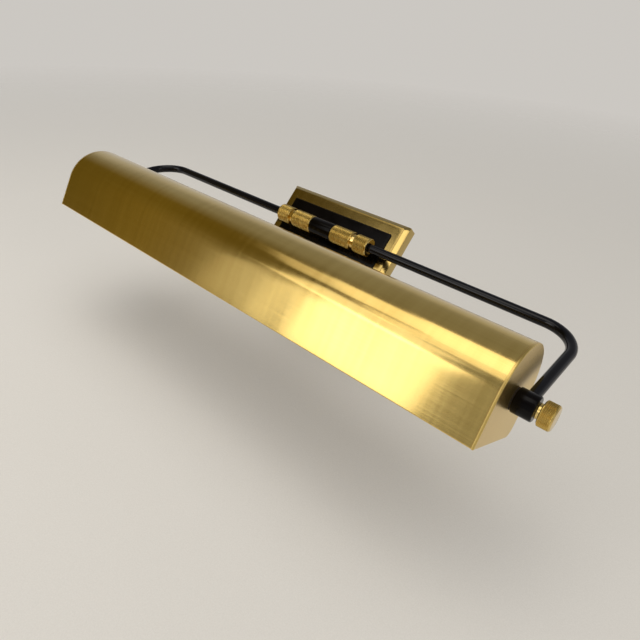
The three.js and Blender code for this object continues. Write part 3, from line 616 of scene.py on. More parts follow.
def zinc_steel():
    """Zinc plate: cool grey with faint spangle and rolling marks."""
    finish = Finish("zinc_steel", Metallic=1.0)
    spangle = finish.cells((260, 260, 260))
    rolled = finish.noise((20, 700, 700))
    finish.colours(spangle, (0.50, 0.51, 0.53), (0.535, 0.545, 0.565), (0.57, 0.575, 0.59))
    finish.rough(rolled, 0.26, 0.44)
    finish.bump(rolled, 0.01, 0.3)
    return finish


def white_coating(name, warm, cool, roughness, grain_depth):
    """White paint or moulding: off-white clouds and a fine grain."""
    finish = Finish(name, IOR=1.48)
    clouds = finish.noise((25, 40, 40))
    grain = finish.noise(1800, detail=2)
    finish.colours(clouds, warm, cool)
    finish.rough(clouds, roughness - 0.05, roughness + 0.06)
    finish.bump(grain, grain_depth, 0.4)
    return finish


def porcelain():
    """Glazed ceramic with a slightly uneven glaze."""
    finish = Finish("porcelain", IOR=1.52, Coat_Weight=0.6, Coat_Roughness=0.06)
    glaze = finish.noise(160, detail=2)
    finish.colours(glaze, (0.80, 0.78, 0.72), (0.88, 0.87, 0.83))
    finish.rough(glaze, 0.14, 0.24)
    finish.bump(glaze, 0.04, 0.3)
    return finish


def lamp_glass():
    """Clear soda glass with the faint ripple of a blown tube."""
    finish = Finish("lamp_glass", IOR=1.48, Transmission_Weight=1.0)
    ripple = finish.noise((30, 60, 60), detail=2)
    finish.colours(ripple, (0.97, 0.975, 0.97), (1.0, 1.0, 1.0))
    finish.rough(ripple, 0.01, 0.035)
    finish.bump(ripple, 0.05, 0.2)
    return finish


def filament():
    """Phosphor-coated rods, granular and amber-yellow."""
    finish = Finish("filament")
    grains = finish.noise(3000)
    finish.colours(grains, (0.80, 0.46, 0.06), (0.93, 0.70, 0.20))
    finish.rough(grains, 0.45, 0.65)
    finish.bump(grains, 0.02, 0.5)
    return finish


def nickel():
    """Nickel plate with turning marks."""
    finish = Finish("nickel", Metallic=1.0)
    turning = finish.noise((1900, 80, 80))
    finish.colours(turning, (0.56, 0.53, 0.47), (0.68, 0.65, 0.59))
    finish.rough(turning, 0.16, 0.3)
    finish.bump(turning, 0.01, 0.3)
    return finish


def sheathed(name, dark, light, roughness):
    """Extruded cable sheath: faint drawing lines and a waxy bloom."""
    finish = Finish(name, IOR=1.5)
    drawn = finish.noise((60, 1600, 1600), detail=2)
    bloom = finish.noise(90)
    finish.colours(bloom, dark, light)
    finish.rough(drawn, roughness - 0.06, roughness + 0.08)
    finish.bump(drawn, 0.01, 0.4)
    return finish


def earth_cable():
    """Green and yellow stripes along the sheath."""
    finish = Finish("earth_cable", IOR=1.5)
    wave = finish.nodes.new("ShaderNodeTexWave")
    wave.bands_direction = "Z"
    wave.inputs["Scale"].default_value = 1
    wave.inputs["Distortion"].default_value = 0.4
    finish.links.new(finish.scaled((1, 1, 130)), wave.inputs["Vector"])
    finish.colours(wave.outputs["Fac"], (0.03, 0.22, 0.04), (0.05, 0.30, 0.05),
                   (0.72, 0.62, 0.03), (0.75, 0.66, 0.05))
    finish.rough(finish.noise((80, 900, 900)), 0.45, 0.58)
    return finish


def fibre():
    """Vulcanised fibre: dark brown, pressed paper grain."""
    finish = Finish("fibre", IOR=1.5)
    grain = finish.noise((300, 1300, 1300), detail=4, roughness=0.7)
    finish.colours(grain, (0.012, 0.008, 0.006), (0.035, 0.022, 0.014))
    finish.rough(grain, 0.6, 0.85)
    finish.bump(grain, 0.03, 0.5)
    return finish


FINISHES = {
    "satin_brass": satin_brass("satin_brass"),
    "knurled_brass": knurled_brass(),
    "black_gloss": black_gloss(),
    "black_satin": black_satin(),
    "zinc_steel": zinc_steel(),
    "white_enamel": white_coating("white_enamel", (0.80, 0.79, 0.74), (0.87, 0.86, 0.83),
                                  0.38, 0.012),
    "white_aluminium": white_coating("white_aluminium", (0.72, 0.72, 0.70),
                                     (0.82, 0.82, 0.80), 0.45, 0.015),
    "white_plastic": white_coating("white_plastic", (0.70, 0.68, 0.62), (0.80, 0.78, 0.73),
                                   0.48, 0.02),
    "porcelain": porcelain(),
    "lamp_glass": lamp_glass(),
    "filament": filament(),
    "nickel": nickel(),
    "cable": sheathed("cable", (0.012, 0.012, 0.013), (0.022, 0.022, 0.024), 0.5),
    "earth_cable": earth_cable(),
    "fibre": fibre(),
}


# The same brass, rougher on the end caps, darker on the plate as painted shade, and a polished
# one
CAP_BRASS = satin_brass("cap_brass", extra=0.16).material
SHADED_PLATE_BRASS = satin_brass("plate_brass_painted_shade", depth=0.66).material
POLISHED_BRASS = polished_brass().material


def finish_cad_nodes():
    """Every CAD node takes the finish of its slot, for the nodes that stay visible."""
    for node, finish in SLOT_OF.items():
        dress(frame["nodes"][node], finish)


def knurled(name, side, near, far, gap, place):
    """A knurled piece between two plain ends, polished where it lies below the knurl."""
    rows = knurl(near[-1][0] + gap, far[0][0] - gap)
    drawn = turned(near + rows + far, side, 2 * KNURL_AROUND)
    made = piece(name, drawn, place, sharp=KNURL_SHARP)
    made.data.materials.append(POLISHED_BRASS)
    below = (GRIP_RADIUS - KNURL_DEPTH - 0.02) * MM
    to_axis = place.inverted()
    for face in made.data.polygons:
        middle = to_axis @ face.center
        if math.hypot(middle.y, middle.z) < below:
            face.material_index = 1


# ---------- wall bracket

def plate_rings(width, height, profile, count):
    """Rings of a rectangle set in by the first value at the depth of the second."""
    rings = []
    for inset, depth in profile:
        outline = rectangle(width - 2 * inset, height - 2 * inset, PLATE_CORNER, count)
        rings.append([(a, -depth, b) for a, b in outline])
    return rings


def hole_rings(depths, count):
    """Rings of the hole that the post's thread passes through."""
    outline = circle(POST_HOLE_RADIUS, count, math.pi / count)
    return [[(a, -depth, b) for a, b in outline] for depth in depths]


def canopy():
    count = 720
    x0, x1 = span("backplate_canopy")
    z0, z1 = span("backplate_canopy", 2)
    depth = -span("backplate_canopy", 1)[0]
    chamfer = depth - PLATE_CHAMFER
    outside = rounded([(0.4, 0), (0, 0.4), (0, chamfer), (PLATE_CHAMFER, depth),
                       (PLATE_CHAMFER + 4, depth)], 0.35)
    wall = PLATE_WALL
    inside = [(wall + PLATE_CHAMFER, depth - wall), (wall, chamfer - 0.8), (wall, 0)]
    rings = plate_rings(x1 - x0, z1 - z0, outside, count)
    rings += hole_rings((depth, depth - wall), count)
    rings += plate_rings(x1 - x0, z1 - z0, inside, count)
    made = add_object("canopy", loft(rings, looped=True), WALL)
    past = 60
    hole = turned(band(-past, past, GRUB_HOLE_RADIUS), sides=FINE_SIDES)
    drill = add_object("drill", hole, upright(WALL, 0, -GRUB_DEPTH, "z"))
    combine(made, "DIFFERENCE", drill)
    # The plate takes the darkened brass: painted shade on its face, chamfers and sides.
    settle(made, "backplate_canopy").data.materials[0] = SHADED_PLATE_BRASS


def inset_plate():
    count = 480
    x0, x1 = span("inset_plate")
    z0, z1 = span("inset_plate", 2)
    front, back = (-value for value in span("inset_plate", 1))
    profile = rounded([(0, back), (0, front - INSET_CHAMFER), (INSET_CHAMFER, front),
                       (INSET_CHAMFER + 3, front)], 0.3)
    rings = plate_rings(x1 - x0, z1 - z0, profile, count)
    rings += hole_rings((front, back), count)
    piece("inset_plate", loft(rings, looped=True), WALL)


def centre_block():
    """The barrel that carries the bar, with its stubs, and the post it stands on."""
    half, edge = BARREL_HALF, 0.7
    stub_end = span("centre_block")[1]
    bore = TUBE_RADIUS + CLEARANCE
    barrel = rounded([(-stub_end, bore), (-stub_end, STUB_RADIUS), (-half, STUB_RADIUS),
                      (-half, GRIP_RADIUS - edge), (-half + edge, GRIP_RADIUS),
                      (half - edge, GRIP_RADIUS), (half, GRIP_RADIUS - edge),
                      (half, STUB_RADIUS), (stub_end, STUB_RADIUS), (stub_end, bore)], 0.25)
    made = add_object("barrel", turned(barrel), BAR)
    standoff = -BAR_POINT.y / MM
    face = -span("inset_plate", 1)[0]
    thread_end = -span("centre_block", 1)[1]
    post = [(-standoff + bore + 0.6, 0), (-standoff + bore + 0.6, POST_RADIUS),
            (-face, POST_RADIUS), (-face, NIPPLE_RADIUS), (-thread_end, NIPPLE_RADIUS),
            (-thread_end, 0)]
    foot = add_object("post", turned(rounded(post, 0.3)), upright(WALL, 0, 0, "y"))
    combine(made, "UNION", foot)
    settle(made, "centre_block")


def sleeve(side, name):
    x0, x1 = ends(name)
    edge = 0.6
    stub = STUB_RADIUS + CLEARANCE
    tube = TUBE_RADIUS + CLEARANCE
    corner = GRIP_RADIUS - edge
    near = rounded([(x0, stub), (x0, corner), (x0 + edge, RIM_RADIUS),
                    (x0 + edge + 0.5, RIM_RADIUS)], 0.15)
    far = rounded([(GRIP_END - edge - 0.5, RIM_RADIUS), (GRIP_END - edge, RIM_RADIUS),
                   (GRIP_END, corner), (GRIP_END, GROOVE_RADIUS), (GROOVE_END, GROOVE_RADIUS),
                   (GROOVE_END, SPIGOT_RADIUS), (x1, SPIGOT_RADIUS), (x1, tube),
                   (SLEEVE_STEP, tube), (SLEEVE_STEP, stub)], 0.2)
    knurled(name, side, near, far, 0.3, BAR)


def collar(side, name):
    x0, x1 = ends(name)
    edge = 0.6
    bore = SPIGOT_RADIUS + CLEARANCE
    corner = GRIP_RADIUS - edge
    near = rounded([(x0, bore), (x0, corner), (x0 + edge, RIM_RADIUS),
                    (x0 + edge + 0.4, RIM_RADIUS)], 0.15)
    far = rounded([(x1 - edge - 0.4, RIM_RADIUS), (x1 - edge, RIM_RADIUS), (x1, corner),
                   (x1, COLLAR_MOUTH), (x1 - COLLAR_RING, COLLAR_MOUTH),
                   (x1 - COLLAR_RING, bore)], 0.2)
    knurled(name, side, near, far, 0.3, BAR)


def collet(side, name):
    x0, x1 = ends(name)
    bore = TUBE_RADIUS + CLEARANCE
    profile = rounded([(x0, bore), (x0, SPIGOT_RADIUS - 0.3), (x1, SPIGOT_RADIUS - 0.9),
                       (x1, bore)], 0.3, ring=True)
    piece(name, turned(profile, side, FINE_SIDES), BAR)


def grub(name):
    """Grub screw with a hexagon socket in its outer end."""
    z0, z1 = span(name, 2)
    outward = 1 if z1 > 0 else -1
    inner, outer = (z0, z1) if outward > 0 else (-z1, -z0)
    count, socket_flats, socket_depth, socket_point = FINE_SIDES, 2.0, 2.2, 2.6
    profile = rounded([(inner, 0.9), (inner + 0.7, GRUB_RADIUS), (outer - 0.4, GRUB_RADIUS),
                       (outer, GRUB_RADIUS - 0.4)], 0.2)
    rings = [[(inner, 0, 0)]]
    rings += [[(x, a, b) for a, b in circle(size, count)] for x, size in profile]
    rings += [[(outer - drop, a, b) for a, b in hexagon(socket_flats, count)]
              for drop in (0, socket_depth)]
    rings.append([(outer - socket_point, 0, 0)])
    place = upright(WALL, 0, -GRUB_DEPTH, "z")
    points, faces = loft(rings)
    points = [(x * outward, y, z) for x, y, z in points]
    piece(name, (points, faces), place)


def wall_bracket():
    canopy()
    inset_plate()
    centre_block()
    softened("mounting_plate", 0.25)
    softened("terminal_block", 0.3)
    for side, hand in HANDS:
        sleeve(side, f"sleeve_{hand}")
        collet(side, f"collet_{hand}")
        collar(side, f"clamp_collar_{hand}")
    for end in ("top", "bottom"):
        grub(f"canopy_grub_{end}")


# ---------- arm

def arm_tube():
    x0, x1 = span("arm_tube")
    half = (x1 - x0) / 2 - TUBE_RADIUS
    leg = LEG_GAP - ARM_LENGTH
    corners = [(-half, leg, 0), (-half, 0, 0), (half, 0, 0), (half, leg, 0)]
    path = bent_path(corners, BEND_RADIUS, steps=28)
    piece("arm_tube", swept(path, TUBE_RADIUS, TUBE_BORE, SIDES), ARM)


def hub(side, name):
    x0, x1 = ends(name)
    edge, bore = 0.8, NIPPLE_RADIUS + CLEARANCE
    profile = rounded([(x0, bore), (x0, GRIP_RADIUS - edge), (x0 + edge, GRIP_RADIUS),
                       (x1 - edge, GRIP_RADIUS), (x1, GRIP_RADIUS - edge), (x1, bore)],
                      0.25, ring=True)
    place = ARM @ Matrix.Translation((0, -ARM_LENGTH * MM, 0))
    made = add_object(name, turned(profile, side), place)
    leg_x = side * ((x0 + x1) / 2 - 0.1)
    socket, past = 4, 20
    hole = turned(band(socket, past, TUBE_RADIUS + CLEARANCE))
    combine(made, "DIFFERENCE", add_object("drill", hole, upright(place, leg_x, 0, "y")))
    settle(made, name)


def arm():
    arm_tube()
    for side, hand in HANDS:
        hub(side, f"hub_{hand}")


# ---------- shade

def trough(inset, corner_steps=12):
    """The shade's outline in (y, z), moved inwards: up the front, over, and down the back."""
    radius = ARCH_RADIUS - inset
    corner = CORNER_RADIUS - inset
    points = [(-radius, -SKIRT)]
    for k in range(ARCH_SIDES + 1):
        angle = math.pi * (1 - k / ARCH_SIDES)
        points.append((radius * math.cos(angle), radius * math.sin(angle)))
    for k in range(corner_steps + 1):
        angle = -math.pi / 2 * k / corner_steps
        points.append((ARCH_RADIUS - CORNER_RADIUS + corner * math.cos(angle),
                       CORNER_RADIUS - SKIRT + corner * math.sin(angle)))
    return points


def shade_shell():
    x0, x1 = span("shade_shell")
    lip_end = ARCH_RADIUS - CORNER_RADIUS - LIP
    hem_inner = -ARCH_RADIUS + HEM_THICKNESS
    outer = trough(0)
    inner = trough(SHEET)[::-1]
    foot = inner.pop()
    hem_top = -SKIRT + HEM_HEIGHT
    hem = rounded([(foot[0], hem_top + 4), (foot[0], hem_top), (hem_inner, hem_top),
                   (hem_inner, -SKIRT), outer[0], outer[1]], 1.0, steps=5)
    lip = rounded([outer[-1], (lip_end, -SKIRT), (lip_end, -SKIRT + SHEET), inner[0]], 0.5)
    section = outer[1:-1] + lip + inner[1:-1] + hem[:-1]
    piece("shade_shell", extruded(section, x0, x1), SHADE)


def end_cap(side, name):
    """Flat end with a broken edge, and the pivot hole in it."""
    x0, x1 = ends(name)

    def outline(inset):
        bottom, steps = -SKIRT + inset, 24
        points = trough(inset)
        y0, y1 = points[-1][0], points[0][0]
        points[0] = (y1, bottom)
        return points + [(y0 + (y1 - y0) * k / steps, bottom) for k in range(1, steps)]

    edge = rounded([(0.15, x0), (0, x0 + 0.15), (0, x1 - CAP_EDGE), (CAP_EDGE, x1),
                    (CAP_EDGE + 1, x1)], 0.2)
    rings = [[(side * x, a, b) for a, b in outline(inset)] for inset, x in edge]
    bore = NIPPLE_RADIUS + CLEARANCE
    spokes = [math.atan2(b, a) for a, b in outline(0)]
    for x in (x1, x0):
        rings.append([(side * x, bore * math.cos(t), bore * math.sin(t)) for t in spokes])
    made = piece(name, loft(rings, looped=True), SHADE)
    made.data.materials[0] = CAP_BRASS


def pivot_parts(side, hand):
    x0, x1 = ends(f"pivot_nipple_{hand}")
    tube = rounded(band(x0, x1, NIPPLE_RADIUS, NIPPLE_BORE), 0.3, ring=True)
    piece(f"pivot_nipple_{hand}", turned(tube, side, FINE_SIDES), SHADE)
    x0, x1 = ends(f"friction_washer_{hand}")
    disc = band(x0, x1, WASHER_RADIUS, NIPPLE_HOLE)
    piece(f"friction_washer_{hand}", turned(disc, side), SHADE)
    nut(side, f"nipple_nut_{hand}")


def nut(side, name):
    """Hexagon nut with its corners turned off at both faces."""
    x0, x1 = ends(name)
    edge, count = 0.3, FINE_SIDES
    flat = circle(NUT_FLATS / 2 * 0.97, count)
    hexed = hexagon(NUT_FLATS, count)
    hole, mouth = circle(NIPPLE_HOLE, count), circle(NIPPLE_HOLE + edge, count)
    rings = []
    for x, outline in ((x0, flat), (x0 + 0.6, hexed), (x1 - 0.6, hexed), (x1, flat),
                       (x1, mouth), (x1 - edge, hole), (x0 + edge, hole), (x0, mouth)):
        rings.append([(side * x, a, b) for a, b in outline])
    piece(name, loft(rings, looped=True), SHADE)


def thumb_knob(side, name):
    x0, x1 = ends(name)
    edge, bevel = 0.6, x1 - KNOB_BEVEL
    rim = KNOB_FACE + edge
    bore = NIPPLE_RADIUS + CLEARANCE
    near = rounded([(KNOB_BORE_END, 0), (KNOB_BORE_END, bore), (x0, bore), (x0, NECK_RADIUS),
                    (KNOB_FACE - 0.5, NECK_RADIUS), (KNOB_FACE, GRIP_RADIUS - edge - 0.4),
                    (rim, RIM_RADIUS), (rim + 0.4, RIM_RADIUS)], 0.2)
    far = rounded([(bevel - 0.3, GRIP_RADIUS - 0.05), (bevel, RIM_RADIUS),
                   (x1, GRIP_RADIUS - KNOB_BEVEL), (x1, 0)], 0.25)
    knurled(name, side, near, far, 0.2, SHADE)


def reflector():
    x0, x1 = span("reflector")
    sweep = 180 + 2 * REFLECTOR_WRAP
    angles = [math.radians(180 + REFLECTOR_WRAP - sweep * k / ARCH_SIDES)
              for k in range(ARCH_SIDES + 1)]
    inner = REFLECTOR_RADIUS - REFLECTOR_SHEET
    outer = REFLECTOR_RADIUS
    section = [(outer * math.cos(t), outer * math.sin(t)) for t in angles]
    section += [(inner * math.cos(t), inner * math.sin(t)) for t in reversed(angles)]
    piece("reflector", extruded(section, x0, x1), SHADE, finish="white_enamel")


def lampholder(side, name):
    """Porcelain holder: a skirt, a waist ring and a wider back."""
    x0, x1 = ends(name)
    mouth, waist = LAMP_CAP_RADIUS + 0.3, HOLDER_RADIUS - 0.6
    profile = rounded([(x0, mouth), (x0, HOLDER_RADIUS - 0.8), (x0 + 0.8, HOLDER_RADIUS),
                       (HOLDER_WAIST - 0.5, HOLDER_RADIUS), (HOLDER_WAIST, waist),
                       (HOLDER_WAIST + 1.2, waist), (HOLDER_WAIST + 1.7, HOLDER_RADIUS),
                       (HOLDER_SHOULDER, HOLDER_BACK_RADIUS), (x1, HOLDER_BACK_RADIUS),
                       (x1, 1.6), (HOLDER_WELL, 1.6), (HOLDER_WELL, mouth)], 0.5, ring=True)
    piece(name, turned(profile, side), LAMPS)


def lamp_glass_tube(side, name):
    """Blown tube with a domed tip and a drawn neck, open where the cap closes it."""
    x0, x1 = ends(name)
    wall, steps = LAMP_WALL, 16

    def dome(radius, tip):
        angles = [math.pi / 2 * k / steps for k in range(steps + 1)]
        return [(tip + radius * (1 - math.cos(t)), radius * math.sin(t)) for t in angles]

    shoulder = x1 - 14.8
    outer = dome(LAMP_RADIUS, x0) + rounded(
        [(shoulder - 3, LAMP_RADIUS), (shoulder, LAMP_RADIUS), (x1 - 4, 7), (x1, 6.6)], 5, 8)
    inner = dome(LAMP_RADIUS - wall, x0 + wall) + rounded(
        [(shoulder - 3.4, LAMP_RADIUS - wall), (shoulder - 0.4, LAMP_RADIUS - wall),
         (x1 - 4.2, 6), (x1, 5.6)], 5, 8)
    points = outer + inner[::-1]
    piece(name, turned(points, side), LAMPS, sharp=60)


def lamp_cap(side, name):
    """Screw cap with a rolled thread, an insulator and a centre contact."""
    x0, x1 = ends(name)
    start, end, waves, per_wave = x0 + 3, x1 - 6.5, 5, 8
    profile = [(x0, 0), (x0, 6.2), (x0 + 0.4, 6.6), (x0 + 2, 6.8)]
    for k in range(waves * per_wave + 1):
        swing = math.cos(2 * math.pi * k / per_wave)
        profile.append((start + (end - start) * k / (waves * per_wave), 6.62 - 0.34 * swing))
    profile += [(end + 1, 5.6), (x1 - 3.5, 4.2), (x1 - 1.4, 3.0), (x1 - 0.4, 2.4),
                (x1, 1.6), (x1, 0)]
    piece(name, turned(profile, side), LAMPS, sharp=45)


def lamp_filament(side, name):
    """Stem, two spiders and four light-giving rods, joined into one piece."""
    tip, root, neck, spread = 36, 150, 174.6, 5.5
    outline = [(root - 1, 0), (root - 1, 2.4), (neck - 6, 2.4), (neck, 3), (neck, 0)]
    stem = add_object(name, turned(rounded(outline, 0.6), side, FINE_SIDES), LAMPS)
    others = []
    for x in (root, tip):
        disc = rounded(band(x - 0.6, x + 0.6, 7), 0.3)
        others.append(add_object("spider", turned(disc, side, FINE_SIDES), LAMPS))
    for y, z in circle(spread, 4, math.pi / 4):
        light_rod = turned(rounded(band(tip - 0.3, root + 0.3, 0.9), 0.3), side, 16)
        place = LAMPS @ Matrix.Translation(Vector((0, y, z)) * MM)
        others.append(add_object("light_rod", light_rod, place))
    combine(stem, "UNION", *others)
    settle(stem, name)


def screw(name, place, side, shank, head, start, head_start, end):
    """A turned screw with a domed, slotted head; the slot is real."""
    tip, flange, slot_half, slot_depth, steps = 0.5, 0.8, 0.4, 0.8, 6
    dome = head_start + flange
    profile = [(start, 0), (start, shank - 0.4), (start + tip, shank), (head_start, shank),
               (head_start, head), (dome, head)]
    for k in range(1, steps):
        angle = math.pi / 2 * k / steps
        profile.append((dome + (end - dome) * math.sin(angle), head * math.cos(angle)))
    profile.append((end, 0))
    made = add_object(name, turned(profile, side, FINE_SIDES), place)
    reach = head + 1
    slot = [(-slot_half, -reach), (slot_half, -reach), (slot_half, reach), (-slot_half, reach)]
    low, high = sorted((side * (end - slot_depth), side * (end + 1)))
    combine(made, "DIFFERENCE", add_object("slot", extruded(slot, low, high), place))
    settle(made, name)


def lamp_screws(side, hand):
    """One screw holds the lampholder on its bracket, one the bracket on the channel."""
    x0, x1 = ends(f"holder_screw_{hand}")
    screw(f"holder_screw_{hand}", LAMPS, side, 1.5, 3, x0, x1 - 2, x1)
    place = upright(SHADE, side * BRACKET_SCREW_X, 0, "z")
    screw(f"bracket_screw_{hand}", place, 1, 1.9, 3.5, -33, -28.3, -26)


def shade_leads():
    """The two leads from the pivots to the lampholders, on the CAD leads' routes."""
    start, turn, drop, far, end = 300, 270, 252, -262, 222.2
    pivot, terminal, side_y, side_z = 1.6, 10.5, 14, 26
    short = [(start, pivot, 0), (turn, pivot, 0), (drop, terminal, LAMP_Z),
             (end, terminal, LAMP_Z)]
    long = [(start, -pivot, 0), (turn, -pivot, 0), (drop, -side_y, side_z),
            (far, -side_y, side_z), (far, -terminal, LAMP_Z), (-end, -terminal, LAMP_Z)]
    for name, route in (("shade_lead_right", short), ("shade_lead_left", long)):
        path = bent_path(route, LEAD_BEND, steps=12)
        piece(name, swept(path, LEAD_RADIUS, sides=24), SHADE)


def shade():
    shade_shell()
    reflector()
    softened("lamp_channel", 0.3)
    for side, hand in HANDS:
        end_cap(side, f"end_cap_{hand}")
        pivot_parts(side, hand)
        thumb_knob(side, f"thumb_knob_{hand}")
        lampholder(side, f"lampholder_{hand}")
        lamp_cap(side, f"lamp_cap_{hand}")
        lamp_glass_tube(side, f"lamp_glass_{hand}")
        lamp_filament(side, f"lamp_filament_{hand}")
        lamp_screws(side, hand)
        softened(f"holder_bracket_{hand}", 0.25)
        softened(f"lead_clip_{hand}", 0.3)
    shade_leads()


# ---------- studio

ACROSS = Vector((1, 0, 0))


def rest_plane():
    """A point and the normal of the plane that the light would lie on: the plate's lower back
    edge and the shade's back corner both touch it. The normal is up in the studio."""
    plate_edge = Vector((0, 0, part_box("backplate_canopy")[0].z))
    corner = SHADE @ (Vector((0, ARCH_RADIUS - CORNER_RADIUS, CORNER_RADIUS - SKIRT)) * MM)
    along = corner - plate_edge
    lean = math.asin(CORNER_RADIUS * MM / math.hypot(along.y, along.z))
    angle = math.atan2(along.z, along.y) + lean
    direction = Vector((0, math.cos(angle), math.sin(angle)))
    up = ACROSS.cross(direction)
    return plate_edge, up if up.z > 0 else -up


REST_POINT, UP = rest_plane()
TOWARD = ACROSS.cross(UP)


def studio_point(across, toward, height):
    """A point given in metres across, toward the viewer and above the resting plane."""
    return REST_POINT + ACROSS * across + TOWARD * toward + UP * height


def softbox(name, place, aim, width, height, radiance, colour):
    """A rectangular soft light of a given brightness, facing a point."""
    light = bpy.data.lights.new(name, "AREA")
    light.shape = "RECTANGLE"
    light.size, light.size_y = width, height
    light.energy = radiance * math.pi * width * height
    light.color = colour
    made = shown(name, light)
    facing = (place - aim).normalized()
    side = UP.cross(facing)
    side = side.normalized() if side.length > 0.1 else ACROSS
    made.matrix_world = Matrix((side, facing.cross(side), facing)).transposed().to_4x4()
    made.location = place
    made.visible_camera = False


def studio_lights():
    """A tall window-like softbox with dimmer wings, graded ones overhead, and a soft fill."""
    centre = (CAD_BOX[0] + CAD_BOX[1]) / 2
    for across, toward, width, radiance in WINDOW_PANES:
        pane = studio_point(across, toward, WINDOW_HEIGHT)
        softbox("window", pane, centre, width, 1.0, radiance, DAYLIGHT)
    softbox("transom", studio_point(-0.75, 1.26, 1.36), centre, 0.80, 0.6, 1.15, DAYLIGHT)
    for across, toward, width, depth, radiance in CEILING_PANES:
        over = studio_point(across, toward, CEILING_HEIGHT)
        softbox("ceiling", over, over - UP, width, depth, radiance, WARM)
    softbox("right_strip", studio_point(1.36, 0.30, 0.80), centre, 0.4, 0.5, 1.8, WARM)
    sun = shown("fill", bpy.data.lights.new("fill", "SUN"))
    sun.data.energy = 1.1
    sun.data.angle = math.radians(75)
    sun.data.color = (1.0, 0.985, 0.96)
    sun.rotation_euler = (UP + ACROSS * 0.1 + TOWARD * 0.15).to_track_quat("Z", "Y").to_euler()
    sun.visible_glossy = False


def world():
    """Pale seamless backdrop. What polished metal sees is a soft room: dim at the front left,
    brighter to the right and low at the back, with a pale floor under it."""
    sky = bpy.data.worlds.new("studio")
    scene.world = sky
    sky.use_nodes = True
    nodes, links = sky.node_tree.nodes, sky.node_tree.links
    nodes.clear()
    output = nodes.new("ShaderNodeOutputWorld")
    direction = nodes.new("ShaderNodeTexCoord").outputs["Generated"]

    def ramp_along(axis, *stops):
        """Colours or greys by how far a direction leans along an axis, from -1 to 1."""
        dot = nodes.new("ShaderNodeVectorMath")
        dot.operation = "DOT_PRODUCT"
        dot.inputs[1].default_value = axis
        links.new(direction, dot.inputs[0])
        half = nodes.new("ShaderNodeMapRange")
        half.inputs["From Min"].default_value = -1
        links.new(dot.outputs["Value"], half.inputs["Value"])
        node = nodes.new("ShaderNodeValToRGB")
        ramp = node.color_ramp
        while len(ramp.elements) < len(stops):
            ramp.elements.new(0.5)
        for element, (lean, shade) in zip(ramp.elements, stops):
            element.position = (lean + 1) / 2
            element.color = (*shade, 1) if isinstance(shade, tuple) else (shade, shade, shade, 1)
        links.new(half.outputs["Result"], node.inputs["Fac"])
        return node.outputs["Color"]

    def mix(factor, first, second):
        node = nodes.new("ShaderNodeMix")
        node.data_type = "RGBA"
        for label, value in (("Factor", factor), ("A", first), ("B", second)):
            if isinstance(value, tuple):
                node.inputs[label].default_value = (*value, 1)
            else:
                links.new(value, node.inputs[label])
        return node.outputs["Result"]

    def brown(grey):
        return grey, 0.75 * grey, 0.15 * grey

    low_front = ramp_along(ACROSS, (-0.88, brown(0.115)), (-0.8, brown(0.19)), (-0.6, 0.24),
                           (-0.2, 0.34), (0.3, 0.44))
    high_front = ramp_along(ACROSS, (-0.88, brown(0.12)), (-0.8, brown(0.15)),
                            (-0.65, brown(0.10)), (-0.4, 0.2), (0.3, 0.3))
    raised = ramp_along(UP, (0.35, 0.0), (0.6, 1.0))
    front = mix(raised, low_front, high_front)
    back = ramp_along(UP, (0.0, 0.50), (0.28, 0.42), (0.45, 0.27), (0.8, 0.24))
    behind = ramp_along(TOWARD, (-0.35, 1.0), (0.0, 0.0))
    below = ramp_along(UP, (-0.1, 1.0), (0.02, 0.0))
    room = mix(below, mix(behind, front, back), (0.52, 0.50, 0.47))
    shading = nodes.new("ShaderNodeBackground")
    links.new(room, shading.inputs["Color"])
    pale = nodes.new("ShaderNodeBackground")
    pale.inputs["Color"].default_value = (*BACKDROP, 1)
    chosen = nodes.new("ShaderNodeMixShader")
    links.new(nodes.new("ShaderNodeLightPath").outputs["Is Camera Ray"], chosen.inputs[0])
    links.new(shading.outputs[0], chosen.inputs[1])
    links.new(pale.outputs[0], chosen.inputs[2])
    links.new(chosen.outputs[0], output.inputs["Surface"])


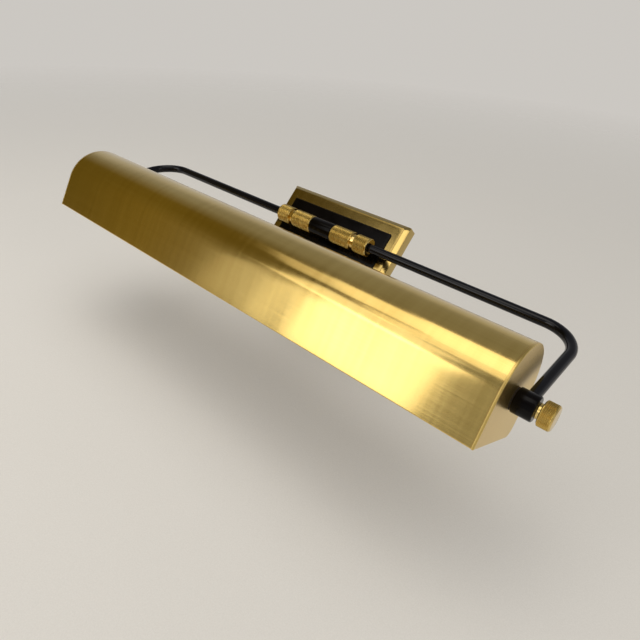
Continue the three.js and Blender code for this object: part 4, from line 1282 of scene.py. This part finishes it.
def fade_out(finish, centre, near, far):
    """Lets a sheet end softly: solid to the near radius, clear beyond the far one and clear
    from behind, so that it is a floor on its upper side only."""
    nodes, links = finish.nodes, finish.links
    distance = nodes.new("ShaderNodeVectorMath")
    distance.operation = "DISTANCE"
    distance.inputs[1].default_value = centre
    links.new(finish.place, distance.inputs[0])
    edge = finish.spread(distance.outputs["Value"], 0, 1, start=near, end=far)
    backing = nodes.new("ShaderNodeNewGeometry").outputs["Backfacing"]
    chosen = nodes.new("ShaderNodeMixShader")
    links.new(finish.total(edge, backing, "MAXIMUM"), chosen.inputs[0])
    links.new(finish.shader.outputs[0], chosen.inputs[1])
    links.new(nodes.new("ShaderNodeBsdfTransparent").outputs[0], chosen.inputs[2])
    links.new(chosen.outputs[0], nodes["Material Output"].inputs["Surface"])


def floor():
    """A pale floor parallel to the resting plane, just clear of the full swing of the arm."""
    swing = ARM_LENGTH + math.hypot(ARCH_RADIUS, SKIRT) + FLOOR_CLEARANCE
    centre = BAR_POINT - UP * (swing * MM)
    mesh = bpy.data.meshes.new("pale_floor")
    corners = [centre + (ACROSS * a + TOWARD * b) * FLOOR_HALF for a, b in
               ((-1, -1), (-1, 1), (1, 1), (1, -1))]
    mesh.from_pydata(corners, [], [(0, 1, 2, 3)])
    if mesh.polygons[0].normal.dot(UP) < 0:
        mesh.flip_normals()
    made = shown("pale_floor", mesh)
    finish = Finish("pale_floor", IOR=1.3)
    weave = finish.noise(900, detail=2)
    finish.colours(weave, (0.75, 0.725, 0.68), (0.79, 0.765, 0.72))
    finish.rough(weave, 0.8, 0.9)
    fade_out(finish, centre, *FLOOR_FADE)
    mesh.materials.append(finish.material)


def camera():
    """Stands close, to the right of the light and a little below it, and leans to the left."""
    data = bpy.data.cameras.new("camera")
    data.sensor_width = 36
    data.lens = 29.8
    data.clip_start = 0.01
    made = shown("camera", data)
    made.location = (0.3767, -0.5281, -0.1240)
    turn = (93.131, -30.377, 31.093)
    made.rotation_euler = tuple(math.radians(angle) for angle in turn)
    scene.camera = made


camera()
finish_cad_nodes()
wall_bracket()
arm()
shade()
world()
studio_lights()
floor()
scene.view_settings.view_transform = "Standard"
